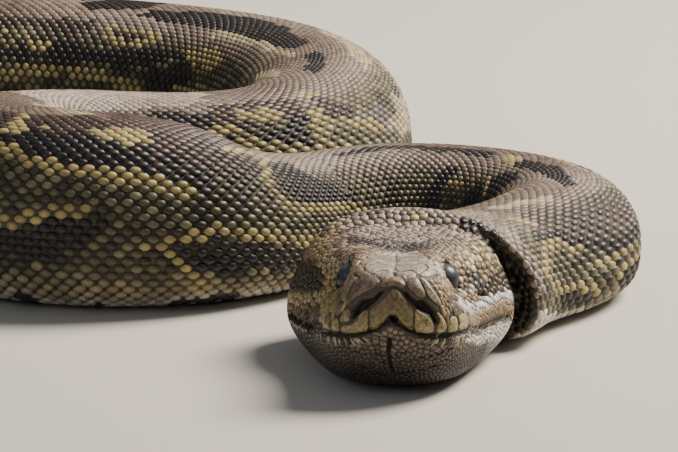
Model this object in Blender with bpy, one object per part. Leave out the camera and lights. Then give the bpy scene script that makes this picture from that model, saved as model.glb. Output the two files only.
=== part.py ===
"""A life-size African rock python, lying still in loose coils with its head in front.

The animal faces -Y and lies on the plane z = 0. Its head, neck, trunk and tail are one smooth
form, parted into lengths by thin plane cuts, with the lower jaw parted along the line of the
mouth. Lengths are in metres and angles in degrees.
"""

import math

import bpy
import numpy as np

# ---------------------------------------------------------------- driving dimensions
NAME = "coiled_rock_python"
GAP = 0.0003                       # clear space between neighbouring pieces
PLACE = (0.3183, -0.3151)          # puts the middle of the outline over the origin

# Head: stations from the tip of the snout back. "back" is the distance from the tip. Each
# other entry is a line along the head: (half width, height), or a height on the middle.
HEAD_TURN = 87.8                   # compass of the skull's axis, snout to nape
HEAD_STATIONS = [
    dict(back=0.0000, crown=0.0310, brow=(0.0000, 0.0310), eye=(0.0000, 0.0310),
         lip=(0.0000, 0.0310), jaw=(0.0000, 0.0310), throat=(0.0000, 0.0310), chin=0.0310),
    dict(back=0.0012, crown=0.0415, brow=(0.0065, 0.0410), eye=(0.0105, 0.0375),
         lip=(0.0125, 0.0300), jaw=(0.0110, 0.0215), throat=(0.0065, 0.0165), chin=0.0155),
    dict(back=0.0050, crown=0.0478, brow=(0.0095, 0.0472), eye=(0.0150, 0.0420),
         lip=(0.0190, 0.0290), jaw=(0.0175, 0.0165), throat=(0.0110, 0.0095), chin=0.0080),
    dict(back=0.0120, crown=0.0503, brow=(0.0122, 0.0500), eye=(0.0192, 0.0425),
         lip=(0.0245, 0.0275), jaw=(0.0232, 0.0140), throat=(0.0150, 0.0055), chin=0.0035),
    dict(back=0.0250, crown=0.0500, brow=(0.0138, 0.0502), eye=(0.0196, 0.0418),
         lip=(0.0288, 0.0245), jaw=(0.0282, 0.0115), throat=(0.0185, 0.0025), chin=0.0008),
    dict(back=0.0400, crown=0.0485, brow=(0.0152, 0.0495), eye=(0.0202, 0.0402),
         lip=(0.0325, 0.0225), jaw=(0.0322, 0.0100), throat=(0.0210, 0.0006), chin=0.0000),
    dict(back=0.0550, crown=0.0482, brow=(0.0172, 0.0492), eye=(0.0240, 0.0402),
         lip=(0.0368, 0.0215), jaw=(0.0365, 0.0098), throat=(0.0240, 0.0000), chin=0.0000),
    dict(back=0.0700, crown=0.0492, brow=(0.0195, 0.0485), eye=(0.0298, 0.0425),
         lip=(0.0415, 0.0212), jaw=(0.0408, 0.0100), throat=(0.0265, 0.0000), chin=0.0000),
    dict(back=0.0840, crown=0.0503, brow=(0.0215, 0.0490), eye=(0.0340, 0.0425),
         lip=(0.0448, 0.0218), jaw=(0.0435, 0.0102), throat=(0.0275, 0.0000), chin=0.0000),
    dict(back=0.0980, crown=0.0508, brow=(0.0225, 0.0492), eye=(0.0350, 0.0425),
         lip=(0.0455, 0.0225), jaw=(0.0438, 0.0104), throat=(0.0275, 0.0000), chin=0.0000),
]
LINE_ANGLES = dict(crown=90, brow=62, eye=36, lip=6, jaw=-20, throat=-58, chin=-90)
CHIN_RECEDES = 0.30                # how far the chin slopes back, per metre of drop
MOUTH_LINE = [(-0.010, 0.0260), (0.004, 0.0255), (0.012, 0.0245), (0.030, 0.0215),
              (0.050, 0.0205), (0.070, 0.0185), (0.086, 0.0150), (0.093, 0.0070),
              (0.097, -0.0080)]    # (back, height); it ends at the corner of the jaw
TONGUE_NOTCH = dict(height=0.0095, half_width=0.0042, depth=0.0060)

EYE_RADIUS = 0.0060
EYE_PLACE = (0.0180, 0.0485, 0.0390)       # half spacing, back from the tip, height
NOSTRIL = dict(place=(0.0104, 0.0085, 0.0476), radius=0.0016)

# Body: its middle line starts behind the nape and lies along these bends, (length, turn);
# left turns are positive. The nape joins the skull to it.
BODY_START = (0.0270, 0.1220)
BODY_HEADING = 56.0
NAPE_RISE = 0.0045                 # swell of the jaw muscles over the top of the nape
BEND_BLEND = 0.050                 # length over which one bend eases into the next
BENDS = [
    ("neck", 0.053, -10), ("right loop", 0.161, 168), ("behind the head", 0.055, 16),
    ("first swell", 0.039, -32), ("left loop start", 0.060, -50), ("left loop", 0.131, -148),
    ("between the loops", 0.030, -3), ("back loop start", 0.067, 70),
    ("back loop", 0.123, 76), ("back loop end", 0.160, 35), ("back corner", 0.150, 92),
    ("first fold run", 0.150, 7), ("first fold", 0.195, -182), ("second fold run", 0.110, -8),
    ("second fold", 0.195, 182), ("third fold run", 0.075, 0), ("third fold", 0.195, -172),
    ("outer run", 0.215, -10), ("tail corner", 0.200, -86), ("tail run", 0.520, -4),
]
# Girth: (distance along the body, half width, height)
GIRTH = [
    (0.000, 0.0375, 0.0500), (0.030, 0.0355, 0.0485), (0.070, 0.0345, 0.0500),
    (0.150, 0.0335, 0.0510), (0.205, 0.0312, 0.0525), (0.240, 0.0315, 0.0530),
    (0.275, 0.0365, 0.0605), (0.300, 0.0405, 0.0720), (0.325, 0.0435, 0.0775),
    (0.360, 0.0445, 0.0790), (0.410, 0.0440, 0.0770), (0.470, 0.0425, 0.0710),
    (0.510, 0.0410, 0.0680), (0.560, 0.0388, 0.0680), (0.600, 0.0400, 0.0710),
    (0.660, 0.0455, 0.0760), (0.820, 0.0490, 0.0800),
    (1.150, 0.0500, 0.0810), (1.550, 0.0500, 0.0810), (1.900, 0.0460, 0.0740),
    (2.200, 0.0380, 0.0620), (2.430, 0.0290, 0.0480), (2.620, 0.0190, 0.0330),
    (2.760, 0.0100, 0.0185), (2.845, 0.0045, 0.0080), (2.871, 0.0012, 0.0024),
]
FOLD = dict(out=0.0070, ahead=0.0080, reach=0.020)   # loose skin on the inside of the neck
WIDEST_AT = 0.42                   # share of the height where the body is widest
BELLY_FLAT = 0.0012                # lowest part of the belly, pressed flat on the ground
TIGHTEST_INSIDE = 0.88             # most of a bend's radius that the inner side may take

# How finely the forms are faceted
STEP = 0.005                       # spacing of the points that carry the body's line
BODY_STEP = 0.026
BODY_SIDES = 18
NAPE_RINGS = 7
HEAD_RINGS = 21
HEAD_SIDES = 26
TURN_PER_PIECE = 58.0              # a length of trunk turns no further than this
LENGTH_PER_PIECE = 0.24
NECK_PARTS = (0.070, 0.180)        # ends of the front and back of the neck
TAIL_STARTS = 2.450


# ---------------------------------------------------------------- smooth curves
def smooth(xs, ys, x):
    """Cubic curve through the points (xs, ys), read at x. ys may hold rows of values."""
    xs = np.asarray(xs, float)
    ys = np.asarray(ys, float)
    x = np.asarray(x, float)
    slope = np.diff(ys, axis=0) / np.diff(xs).reshape((-1,) + (1,) * (ys.ndim - 1))
    ends = np.diff(xs)
    weight = (ends[:-1] / (ends[:-1] + ends[1:])).reshape((-1,) + (1,) * (ys.ndim - 1))
    inner = slope[:-1] * (1 - weight) + slope[1:] * weight
    tangent = np.concatenate([slope[:1], inner, slope[-1:]])
    i = np.clip(np.searchsorted(xs, x, side="right") - 1, 0, len(xs) - 2)
    span = xs[i + 1] - xs[i]
    u = np.clip((x - xs[i]) / span, 0, 1).reshape(x.shape + (1,) * (ys.ndim - 1))
    span = span.reshape(u.shape)
    return ((1 + 2 * u) * (1 - u) ** 2 * ys[i] + u * (1 - u) ** 2 * span * tangent[i]
            + u * u * (3 - 2 * u) * ys[i + 1] + u * u * (u - 1) * span * tangent[i + 1])


def body_line():
    """Points, headings and curvatures every STEP along the body's middle line."""
    total = sum(length for _, length, _ in BENDS)
    count = int(round(total / STEP))
    middles = (np.arange(count) + 0.5) * STEP
    curvature = np.zeros(count)
    start = 0.0
    for _, length, turn in BENDS:
        low = np.maximum(middles - BEND_BLEND / 2, start)
        high = np.minimum(middles + BEND_BLEND / 2, start + length)
        curvature += math.radians(turn) / length * np.clip(high - low, 0, None) / BEND_BLEND
        start += length
    turned = np.concatenate([[0], np.cumsum(curvature * STEP)])
    heading = math.radians(BODY_HEADING) + turned
    middle = (heading[:-1] + heading[1:]) / 2
    steps = np.stack([np.cos(middle), np.sin(middle)], axis=1) * STEP
    points = np.vstack([[BODY_START], np.array(BODY_START) + np.cumsum(steps, axis=0)])
    along = np.arange(count + 1) * STEP
    bent = np.interp(along, middles, curvature)
    return along, points, heading, bent, np.degrees(turned)


ALONG, POINTS, HEADINGS, BENT, TURNED = body_line()
BODY_LENGTH = ALONG[-1]
GIRTH_TABLE = np.array(GIRTH)


# ---------------------------------------------------------------- the surface of the animal
def body_section(half_width, height, angle, inner_width=None):
    """Across and up of a body section at an angle in radians: 0 is the side, pi/2 the back."""
    across = np.cos(angle)
    up = np.sin(angle)
    widest = WIDEST_AT * height
    fullness = np.where(up > 0, 0.90, 0.76)
    x = half_width * np.sign(across) * np.abs(across) ** fullness
    over = widest + (height - widest) * np.abs(up) ** 0.95
    under = widest - (widest + BELLY_FLAT) * np.abs(up) ** 0.62
    z = np.where(up > 0, over, np.maximum(under, 0.0))
    if inner_width is not None:
        side, width = inner_width
        x = np.where(x * side > 0, x * width / half_width, x)
    return x, z


def body_ring(s, angles):
    """World points round the body at the distance s behind the skull."""
    half_width, height = smooth(GIRTH_TABLE[:, 0], GIRTH_TABLE[:, 1:], np.array(s))
    centre = np.array([np.interp(s, ALONG, POINTS[:, 0]), np.interp(s, ALONG, POINTS[:, 1])])
    heading = np.interp(s, ALONG, HEADINGS)
    bend = np.interp(s, ALONG, BENT)
    inner = (-np.sign(bend), min(half_width, TIGHTEST_INSIDE / max(abs(bend), 1e-6)))
    x, z = body_section(half_width, height, angles, inner)
    right = np.array([math.sin(heading), -math.cos(heading)])
    ahead = np.array([math.cos(heading), math.sin(heading)])
    fold = math.exp(-(s / FOLD["reach"]) ** 2) * np.clip(np.cos(angles), 0, None)
    flat = centre + np.outer(x + fold * FOLD["out"], right) - np.outer(fold * FOLD["ahead"], ahead)
    return np.column_stack([flat, z])


def head_lines():
    """The head's stations as an array: station, line, (across, up), right side and left."""
    names = list(LINE_ANGLES)
    rows = []
    for station in HEAD_STATIONS:
        half = [(0.0, station[n]) if n in ("crown", "chin") else station[n] for n in names]
        mirrored = [(-x, z) for x, z in half[-2:0:-1]]
        rows.append(half + mirrored)
    angles = [LINE_ANGLES[n] for n in names]
    angles += [-180 - LINE_ANGLES[n] for n in names[-2:0:-1]]
    return np.array(rows), np.radians(angles)


HEAD_ROWS, HEAD_ANGLES = head_lines()


def head_ring(station, angles):
    """World points round the head at a station number, which may lie between two stations."""
    numbers = np.arange(len(HEAD_STATIONS), dtype=float)
    back = smooth(numbers, np.array([s["back"] for s in HEAD_STATIONS]), np.array(station))
    row = smooth(numbers, HEAD_ROWS, np.array(station))
    order = np.argsort(-HEAD_ANGLES)
    known = HEAD_ANGLES[order]
    row = row[order]
    turn = 2 * math.pi
    known = np.concatenate([known + turn, known, known - turn])[::-1]
    row = np.concatenate([row, row, row])[::-1]
    section = smooth(known, row, angles)
    x, z = section[:, 0], np.maximum(section[:, 1], 0.0)
    behind = back + CHIN_RECEDES * np.clip(HEAD_STATIONS[0]["crown"] - z, 0, None) * (
        math.exp(-back / 0.030))
    axis = math.radians(HEAD_TURN)
    ahead = np.array([math.cos(axis), math.sin(axis)])
    right = np.array([math.sin(axis), -math.cos(axis)])
    flat = np.outer(behind, ahead) + np.outer(x, right)
    return np.column_stack([flat, z])


def nape_ring(share, angles):
    """World points round the nape: share 0 is the back of the skull, 1 the start of the body."""
    skull_axis = math.radians(HEAD_TURN)
    body_axis = math.radians(BODY_HEADING)
    leaves = np.array([math.cos(skull_axis), math.sin(skull_axis), 0.0])
    arrives = np.array([math.cos(body_axis), math.sin(body_axis), 0.0])
    start = head_ring(len(HEAD_STATIONS) - 1, angles) + leaves * GAP
    end = body_ring(0.0, angles)
    reach = np.linalg.norm(end - start, axis=1)[:, None]
    u = share
    rise = NAPE_RISE * math.sin(math.pi * u ** 0.8) * np.clip(np.sin(angles), 0, None)
    return ((1 + 2 * u) * (1 - u) ** 2 * start + u * (1 - u) ** 2 * reach * leaves
            + u * u * (3 - 2 * u) * end + u * u * (u - 1) * reach * arrives
            + np.outer(rise, [-0.5, 0.0, 1.0]))


def head_point(across, back, height):
    """World place of a point given in the head's own directions."""
    axis = math.radians(HEAD_TURN)
    x = back * math.cos(axis) + across * math.sin(axis)
    y = back * math.sin(axis) - across * math.cos(axis)
    return (x, y, height)


# ---------------------------------------------------------------- making meshes and materials
def material(name, colour, roughness):
    """A plain Principled material."""
    made = bpy.data.materials.new(name)
    made.use_nodes = True
    shader = made.node_tree.nodes["Principled BSDF"]
    shader.inputs["Base Color"].default_value = (*colour, 1)
    shader.inputs["Roughness"].default_value = roughness
    shader.inputs["Metallic"].default_value = 0
    return made


def add_mesh(name, points, faces, collection, coat=None):
    """One smooth-shaded object from points and faces, moved to its place over the origin."""
    mesh = bpy.data.meshes.new(name)
    placed = [(x + PLACE[0], y + PLACE[1], z) for x, y, z in points]
    mesh.from_pydata(placed, [], faces)
    mesh.update()
    mesh.shade_smooth()
    mesh.set_sharp_from_angle(angle=math.radians(50))
    made = bpy.data.objects.new(name, mesh)
    collection.objects.link(made)
    if coat is not None:
        mesh.materials.append(coat)
    return made


def loft(rings):
    """Points and faces of a closed tube through rings that all have the same number of points."""
    sides = len(rings[0])
    points = [tuple(p) for ring in rings for p in ring]
    faces = []
    for i in range(len(rings) - 1):
        for j in range(sides):
            k = (j + 1) % sides
            faces.append((i * sides + k, i * sides + j, (i + 1) * sides + j, (i + 1) * sides + k))
    faces.append(tuple(range(sides)))
    faces.append(tuple((len(rings) - 1) * sides + j for j in range(sides))[::-1])
    return points, faces


def add_sphere(name, place, radius, collection, segments, rings, coat=None):
    """A ball in the head's own directions."""
    x, y, z = head_point(*place)
    bpy.ops.mesh.primitive_uv_sphere_add(segments=segments, ring_count=rings, radius=radius,
                                         location=(x + PLACE[0], y + PLACE[1], z))
    made = bpy.context.object
    made.name = name
    for owner in list(made.users_collection):
        owner.objects.unlink(made)
    collection.objects.link(made)
    made.data.shade_smooth()
    if coat is not None:
        made.data.materials.append(coat)
    return made


def cut(target, cutter):
    """Takes the cutter's space out of the target."""
    boolean = target.modifiers.new("cut_" + cutter.name, "BOOLEAN")
    boolean.operation = "DIFFERENCE"
    boolean.solver = "EXACT"
    boolean.object = cutter
    cutter.display_type = "WIRE"
    cutter.hide_render = True


# ---------------------------------------------------------------- the pieces
def mouth_height(across, back):
    """Height of the line of the mouth, with the notch for the tongue at the front."""
    line = smooth([b for b, _ in MOUTH_LINE], [h for _, h in MOUTH_LINE], np.array(back))
    notch = TONGUE_NOTCH["height"] * math.exp(-(across / TONGUE_NOTCH["half_width"]) ** 2)
    return float(line) + notch * math.exp(-max(back, 0) / TONGUE_NOTCH["depth"])


def mouth_block(name, shift, far_height, collection):
    """A block with the mouth's sheet as one side and a level plane as the other."""
    across = [-0.060, -0.040, -0.024, -0.012, -0.008, -0.0055, -0.0035, -0.0018, 0.0]
    across += [-a for a in across[-2::-1]]
    back = [-0.010, -0.004, 0.0, 0.003, 0.007, 0.012, 0.020, 0.030, 0.042, 0.055, 0.068,
            0.078, 0.086, 0.090, 0.093, 0.095, 0.097]
    columns = len(across)
    points = []
    for b in back:
        points += [head_point(a, b, mouth_height(a, b) + shift) for a in across]
    for b in back:
        points += [head_point(a, b, far_height) for a in across]
    lower = len(back) * columns
    faces = []
    for i in range(len(back) - 1):
        for j in range(columns - 1):
            a, b = i * columns + j, i * columns + j + 1
            c, d = b + columns, a + columns
            faces += [(a, b, c), (a, c, d)]
            faces.append((lower + d, lower + c, lower + b, lower + a))
    rim = [i for i in range(columns)]
    rim += [i * columns + columns - 1 for i in range(1, len(back))]
    rim += [(len(back) - 1) * columns + j for j in range(columns - 2, -1, -1)]
    rim += [i * columns for i in range(len(back) - 2, 0, -1)]
    for n, a in enumerate(rim):
        b = rim[(n + 1) % len(rim)]
        faces.append((b, a, lower + a, lower + b))
    if far_height > 0.03:
        faces = [tuple(reversed(f)) for f in faces]
    return add_mesh(name, points, faces, collection)


def nape_block(name, collection):
    """A block over all of the skull that lies behind the corner of the jaw."""
    start = MOUTH_LINE[-1][0] - GAP
    corners = [head_point(a, b, h) for h in (-0.02, 0.09) for b in (start, start + 0.04)
               for a in (-0.07, 0.07)]
    faces = [(0, 2, 3, 1), (4, 5, 7, 6), (0, 1, 5, 4), (2, 6, 7, 3), (0, 4, 6, 2), (1, 3, 7, 5)]
    return add_mesh(name, corners, faces, collection)


def skull_rings():
    """Rings round the head, from close to the tip of the snout to its last station."""
    angles = np.linspace(0, 2 * math.pi, HEAD_SIDES, endpoint=False)
    first = 0.16
    last = len(HEAD_STATIONS) - 1
    return [head_ring(n, angles) for n in np.linspace(first, last, HEAD_RINGS)]


def make_head(parts, cutters, coats):
    """Upper head, lower jaw and eyes."""
    points, faces = loft(skull_rings())
    upper = add_mesh("head", points, faces, parts, coats["head"])
    lower = add_mesh("lower_jaw", points, faces, parts, coats["jaw"])
    cut(upper, mouth_block("below_the_mouth", GAP / 2, -0.020, cutters))
    cut(lower, mouth_block("above_the_mouth", -GAP / 2, 0.080, cutters))
    cut(lower, nape_block("behind_the_jaw", cutters))
    for side, sign in (("left", 1), ("right", -1)):
        across, back, height = EYE_PLACE
        place = (sign * across, back, height)
        add_sphere("eye_" + side, place, EYE_RADIUS, parts, 16, 10, coats["eye"])
        cut(upper, add_sphere("socket_" + side, place, EYE_RADIUS + GAP, cutters, 18, 10))
        across, back, height = NOSTRIL["place"]
        hole = add_sphere("nostril_" + side, (sign * across, back, height), NOSTRIL["radius"],
                          cutters, 10, 8)
        cut(upper, hole)


def piece_ends():
    """Where the trunk is parted: no length turns or runs too far."""
    ends = [NECK_PARTS[-1]]
    turned = np.concatenate([[0], np.cumsum(np.abs(np.diff(TURNED)))])
    while ends[-1] < TAIL_STARTS:
        start = ends[-1]
        limit = np.interp(start, ALONG, turned) + TURN_PER_PIECE
        reach = min(float(np.interp(limit, turned, ALONG)), start + LENGTH_PER_PIECE)
        ends.append(min(round(reach, 3), TAIL_STARTS))
    if ends[-1] - ends[-2] < 0.06:
        ends.pop(-2)
    return ends


def body_rings(start, end):
    """Rings along the body from start to end, half a gap short of each."""
    angles = np.linspace(0, 2 * math.pi, BODY_SIDES, endpoint=False)
    count = max(3, int(math.ceil((end - start) / BODY_STEP)) + 1)
    return [body_ring(s, angles) for s in np.linspace(start + GAP / 2, end - GAP / 2, count)]


def make_body(parts, coats):
    """Neck, numbered lengths of trunk, and tail."""
    angles = np.linspace(0, 2 * math.pi, BODY_SIDES, endpoint=False)
    nape = [nape_ring(share, angles) for share in np.linspace(0, 1, NAPE_RINGS)]
    front, back = NECK_PARTS
    add_mesh("neck_front", *loft(nape + body_rings(0, front)[1:]), parts, coats["neck"])
    add_mesh("neck_back", *loft(body_rings(front, back)), parts, coats["neck"])
    ends = piece_ends()
    for number, (start, end) in enumerate(zip(ends[:-1], ends[1:]), 1):
        name = f"trunk_{number:02d}"
        add_mesh(name, *loft(body_rings(start, end)), parts, coats["trunk"])
    add_mesh("tail", *loft(body_rings(TAIL_STARTS, BODY_LENGTH)), parts, coats["tail"])


def main():
    for old in list(bpy.data.objects):
        bpy.data.objects.remove(old)
    parts = bpy.data.collections.new(NAME)
    cutters = bpy.data.collections.new("cutters")
    bpy.context.scene.collection.children.link(parts)
    bpy.context.scene.collection.children.link(cutters)
    coats = {
        "head": material("head_scales", (0.23, 0.17, 0.11), 0.50),
        "jaw": material("jaw_scales", (0.33, 0.27, 0.19), 0.50),
        "eye": material("clouded_eye", (0.16, 0.20, 0.24), 0.12),
        "neck": material("neck_scales", (0.17, 0.13, 0.09), 0.45),
        "trunk": material("trunk_scales", (0.19, 0.15, 0.08), 0.45),
        "tail": material("tail_scales", (0.15, 0.12, 0.07), 0.45),
    }
    make_head(parts, cutters, coats)
    make_body(parts, coats)
    cutters.hide_render = True


main()
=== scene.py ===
import itertools
import math

import bmesh
import bpy
import numpy as np
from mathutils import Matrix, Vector
from mathutils.bvhtree import BVHTree
from mathutils.kdtree import KDTree


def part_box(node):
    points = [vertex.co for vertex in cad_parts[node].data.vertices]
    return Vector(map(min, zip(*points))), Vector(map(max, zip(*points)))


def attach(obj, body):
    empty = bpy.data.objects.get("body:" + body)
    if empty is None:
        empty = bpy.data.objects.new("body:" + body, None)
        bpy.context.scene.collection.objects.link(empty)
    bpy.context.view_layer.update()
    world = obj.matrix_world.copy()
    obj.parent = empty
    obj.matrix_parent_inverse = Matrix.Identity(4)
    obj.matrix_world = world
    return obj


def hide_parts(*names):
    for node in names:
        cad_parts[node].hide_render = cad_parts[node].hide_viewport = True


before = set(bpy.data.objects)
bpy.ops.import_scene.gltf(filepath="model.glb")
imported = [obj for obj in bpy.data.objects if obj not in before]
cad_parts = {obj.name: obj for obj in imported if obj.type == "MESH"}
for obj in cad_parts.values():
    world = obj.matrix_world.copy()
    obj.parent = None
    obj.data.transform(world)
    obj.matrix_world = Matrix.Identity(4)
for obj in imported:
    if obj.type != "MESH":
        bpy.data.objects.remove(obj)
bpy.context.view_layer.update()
print("frame loaded")

place = np.array([0.3183, -0.3151, 0.0])    # the tip of the snout: the coils are laid out from it
allNodes = sorted(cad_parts)
eyeNodes = [n for n in allNodes if n.startswith("eye")]
fleshNodes = [n for n in allNodes if n not in eyeNodes]
tiny = 1e-12    # keeps a division by a length from failing
circle = 2 * math.pi


# small helpers
def toLinear(code):
    # sRGB hex to linear colour
    parts = [int(code[i:i + 2], 16) / 255 for i in (1, 3, 5)]
    return np.array([p / 12.92 if p <= 0.04045 else ((p + 0.055) / 1.055) ** 2.4 for p in parts])


def mixColours(a, b, share):
    # from colour a to colour b, by a share for each place
    return a * (1 - share[:, None]) + b * share[:, None]


def smoothCurve(xs, ys, x):
    # cubic through the points, read at x
    xs, ys, x = np.asarray(xs, float), np.asarray(ys, float), np.asarray(x, float)
    tail = (1,) * (ys.ndim - 1)
    gaps = np.diff(xs)
    slope = np.diff(ys, axis=0) / gaps.reshape((-1,) + tail)
    weight = (gaps[:-1] / (gaps[:-1] + gaps[1:])).reshape((-1,) + tail)
    inner = slope[:-1] * (1 - weight) + slope[1:] * weight
    tangent = np.concatenate([slope[:1], inner, slope[-1:]])
    i = np.clip(np.searchsorted(xs, x, side="right") - 1, 0, len(xs) - 2)
    u = np.clip((x - xs[i]) / gaps[i], 0, 1).reshape(x.shape + tail)
    span = gaps[i].reshape(u.shape)
    return ((1 + 2 * u) * (1 - u) ** 2 * ys[i] + u * (1 - u) ** 2 * span * tangent[i]
            + u * u * (3 - 2 * u) * ys[i + 1] + u * u * (u - 1) * span * tangent[i + 1])


def softStep(low, high, x):
    # 0 up to low and 1 from high on, or the other way round when high comes first
    t = np.clip((np.asarray(x, float) - low) / (high - low), 0, 1)
    return t * t * (3 - 2 * t)


def dice(a, b, seed):
    # repeatable random numbers from whole numbers
    n = np.sin(np.asarray(a) * 127.1 + np.asarray(b) * 311.7 + seed * 74.7) * 43758.5453
    return n - np.floor(n)


def softNoise(x, y, seed):
    # smooth noise between 0 and 1 on a unit grid
    i, j = np.floor(x), np.floor(y)
    u, v = x - i, y - j
    u, v = u * u * (3 - 2 * u), v * v * (3 - 2 * v)
    a, b = dice(i, j, seed), dice(i + 1, j, seed)
    c, d = dice(i, j + 1, seed), dice(i + 1, j + 1, seed)
    return (a * (1 - u) + b * u) * (1 - v) + (c * (1 - u) + d * u) * v


def unit(vectors):
    return vectors / np.maximum(np.linalg.norm(vectors, axis=-1, keepdims=True), tiny)


def closedLoop(loop):
    return np.vstack([loop, loop[:1]])


def runAlong(line):
    # the distance run at each of a line's points
    return np.concatenate([[0], np.cumsum(np.linalg.norm(np.diff(line, axis=0), axis=1))])


def readLine(line, run, want):
    # places at the wanted distances along a line
    return np.column_stack([np.interp(want, run, column) for column in np.asarray(line).T])


def lineDistance(points, line):
    line, best = np.asarray(line, float), np.full(len(points), 1e9)
    for a, b in zip(line[:-1], line[1:]):
        d = b - a
        t = np.clip(((points - a) @ d) / (d @ d), 0, 1)
        best = np.minimum(best, np.linalg.norm(points - a - t[:, None] * d, axis=1))
    return best


def insideBy(points, outline):
    # distance inside an outline, negative outside it
    loop = closedLoop(outline)
    inside = np.zeros(len(points), bool)
    for a, b in zip(loop[:-1], loop[1:]):
        crosses = (a[1] > points[:, 1]) != (b[1] > points[:, 1])
        at = a[0] + (points[:, 1] - a[1]) / (b[1] - a[1] + tiny) * (b[0] - a[0])
        inside ^= crosses & (points[:, 0] < at)
    return np.where(inside, 1, -1) * lineDistance(points, loop)


def lookupOf(places):
    lookup = KDTree(len(places))
    for n, p in enumerate(places):
        lookup.insert(Vector(p), n)
    lookup.balance()
    return lookup


def addNode(tree, kind, settings=None, inputs=None):
    # one node, its settings, and its inputs: a node's first output or a socket is linked,
    # and anything else is a value
    node = tree.nodes.new(kind)
    for key, value in (settings or {}).items():
        setattr(node, key, value)
    for key, value in (inputs or {}).items():
        if isinstance(value, bpy.types.Node):
            value = value.outputs[0]
        if isinstance(value, bpy.types.NodeSocket):
            tree.links.new(value, node.inputs[key])
        else:
            node.inputs[key].default_value = value
    return node


def newObject(name, data):
    made = bpy.data.objects.new(name, data)
    bpy.context.scene.collection.objects.link(made)
    return made


def meshFrom(name, points, faces):
    mesh = bpy.data.meshes.new(name)
    mesh.from_pydata([tuple(p) for p in points], [], [tuple(int(i) for i in f) for f in faces])
    mesh.update()
    mesh.shade_smooth()
    return mesh


def gridFaces(rows, width, first=0, closed=False):
    # quads between rows of points
    return [(first + r * width + c, first + r * width + (c + 1) % width,
             first + (r + 1) * width + (c + 1) % width, first + (r + 1) * width + c)
            for r in range(rows - 1) for c in range(width if closed else width - 1)]


def setAttribute(mesh, name, kind, values):
    # one value for each point of the mesh; a colour gets its opacity here
    if kind == "FLOAT_COLOR":
        values = np.column_stack([values, np.ones(len(values))])
    made = mesh.attributes.new(name, kind, "POINT")
    key = {"FLOAT_COLOR": "color", "FLOAT_VECTOR": "vector"}.get(kind, "value")
    number = np.int32 if kind == "INT" else np.float32
    made.data.foreach_set(key, np.ascontiguousarray(values, number).ravel())


# the form of the animal: the same stations, bends and girths as the solids
head = {
    "turn": 87.8,       # heading of the skull in degrees
    # back, then (across, height) of crown, brow, eye, lip, jaw, throat and chin
    "stations": [
        (0, [(0, .031)] * 7),
        (0.0012, [(0, .0415), (.0065, .041), (.0105, .0375), (.0125, .03), (.011, .0215),
                  (.0065, .0165), (0, .0155)]),
        (0.005, [(0, .0478), (.0095, .0472), (.015, .042), (.019, .029), (.0175, .0165),
                  (.011, .0095), (0, .008)]),
        (0.012, [(0, .0503), (.0122, .05), (.0192, .0425), (.0245, .0275), (.0232, .014),
                  (.015, .0055), (0, .0035)]),
        (0.025, [(0, .05), (.0138, .0502), (.0196, .0418), (.0288, .0245), (.0282, .0115),
                  (.0185, .0025), (0, .0008)]),
        (0.04, [(0, .0485), (.0152, .0495), (.0202, .0402), (.0325, .0225), (.0322, .01),
                  (.021, .0006), (0, 0)]),
        (0.055, [(0, .0482), (.0172, .0492), (.024, .0402), (.0368, .0215), (.0365, .0098),
                  (.024, 0), (0, 0)]),
        (0.07, [(0, .0492), (.0195, .0485), (.0298, .0425), (.0415, .0212), (.0408, .01),
                  (.0265, 0), (0, 0)]),
        (0.084, [(0, .0503), (.0215, .049), (.034, .0425), (.0448, .0218), (.0435, .0102),
                  (.0275, 0), (0, 0)]),
        (0.098, [(0, .0508), (.0225, .0492), (.035, .0425), (.0455, .0225), (.0438, .0104),
                  (.0275, 0), (0, 0)]),
    ],
    "angles": [90, 62, 36, 6, -20, -58, -90],       # of the places from crown to chin
    "chin": {"recedes": 0.30, "below": 0.031, "fades": 0.030},      # it slopes back under the snout
    "eye": {"across": 0.0180, "back": 0.0485, "height": 0.0390},    # its middle
}
body = {
    "start": (0.0270, 0.1220), "heading": 56.0,     # from the tip of the snout, and in degrees
    "napeRise": 0.0045,
    "blend": 0.050,     # bends run into each other over this length
    "step": 0.005,      # between the points of the line through the body
    # length of each stretch, and degrees that it turns to the left
    "bends": [(0.053, -10), (0.161, 168), (0.055, 16), (0.039, -32), (0.060, -50), (0.131, -148),
              (0.030, -3), (0.067, 70), (0.123, 76), (0.160, 35), (0.150, 92), (0.150, 7),
              (0.195, -182), (0.110, -8), (0.195, 182), (0.075, 0), (0.195, -172), (0.215, -10),
              (0.200, -86), (0.520, -4)],
    "girth": [  # along, half width, height
        (0, .0375, .05), (0.03, .0355, .0485), (0.07, .0345, .05), (0.15, .0335, .051),
        (0.205, .0312, .0525), (0.24, .0315, .053), (0.275, .0365, .0605), (0.3, .0405, .072),
        (0.325, .0435, .0775), (0.36, .0445, .079), (0.41, .044, .077), (0.47, .0425, .071),
        (0.51, .041, .068), (0.56, .0388, .068), (0.6, .04, .071), (0.66, .0455, .076),
        (0.82, .049, .08), (1.15, .05, .081), (1.55, .05, .081), (1.9, .046, .074),
        (2.2, .038, .062), (2.43, .029, .048), (2.62, .019, .033), (2.76, .01, .0185),
        (2.845, .0045, .008), (2.871, .0012, .0024)],
    "fold": {"out": 0.0070, "ahead": 0.0080, "reach": 0.020},       # on the right of the neck
    "widestAt": 0.42,   # share of the height
    "roundness": {"above": (0.90, 0.95), "below": (0.76, 0.62)},    # powers across and up
    "bellyFlat": 0.0012,
    "tightest": 0.88,   # the inner side of a bend reaches this share of its radius
}


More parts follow.
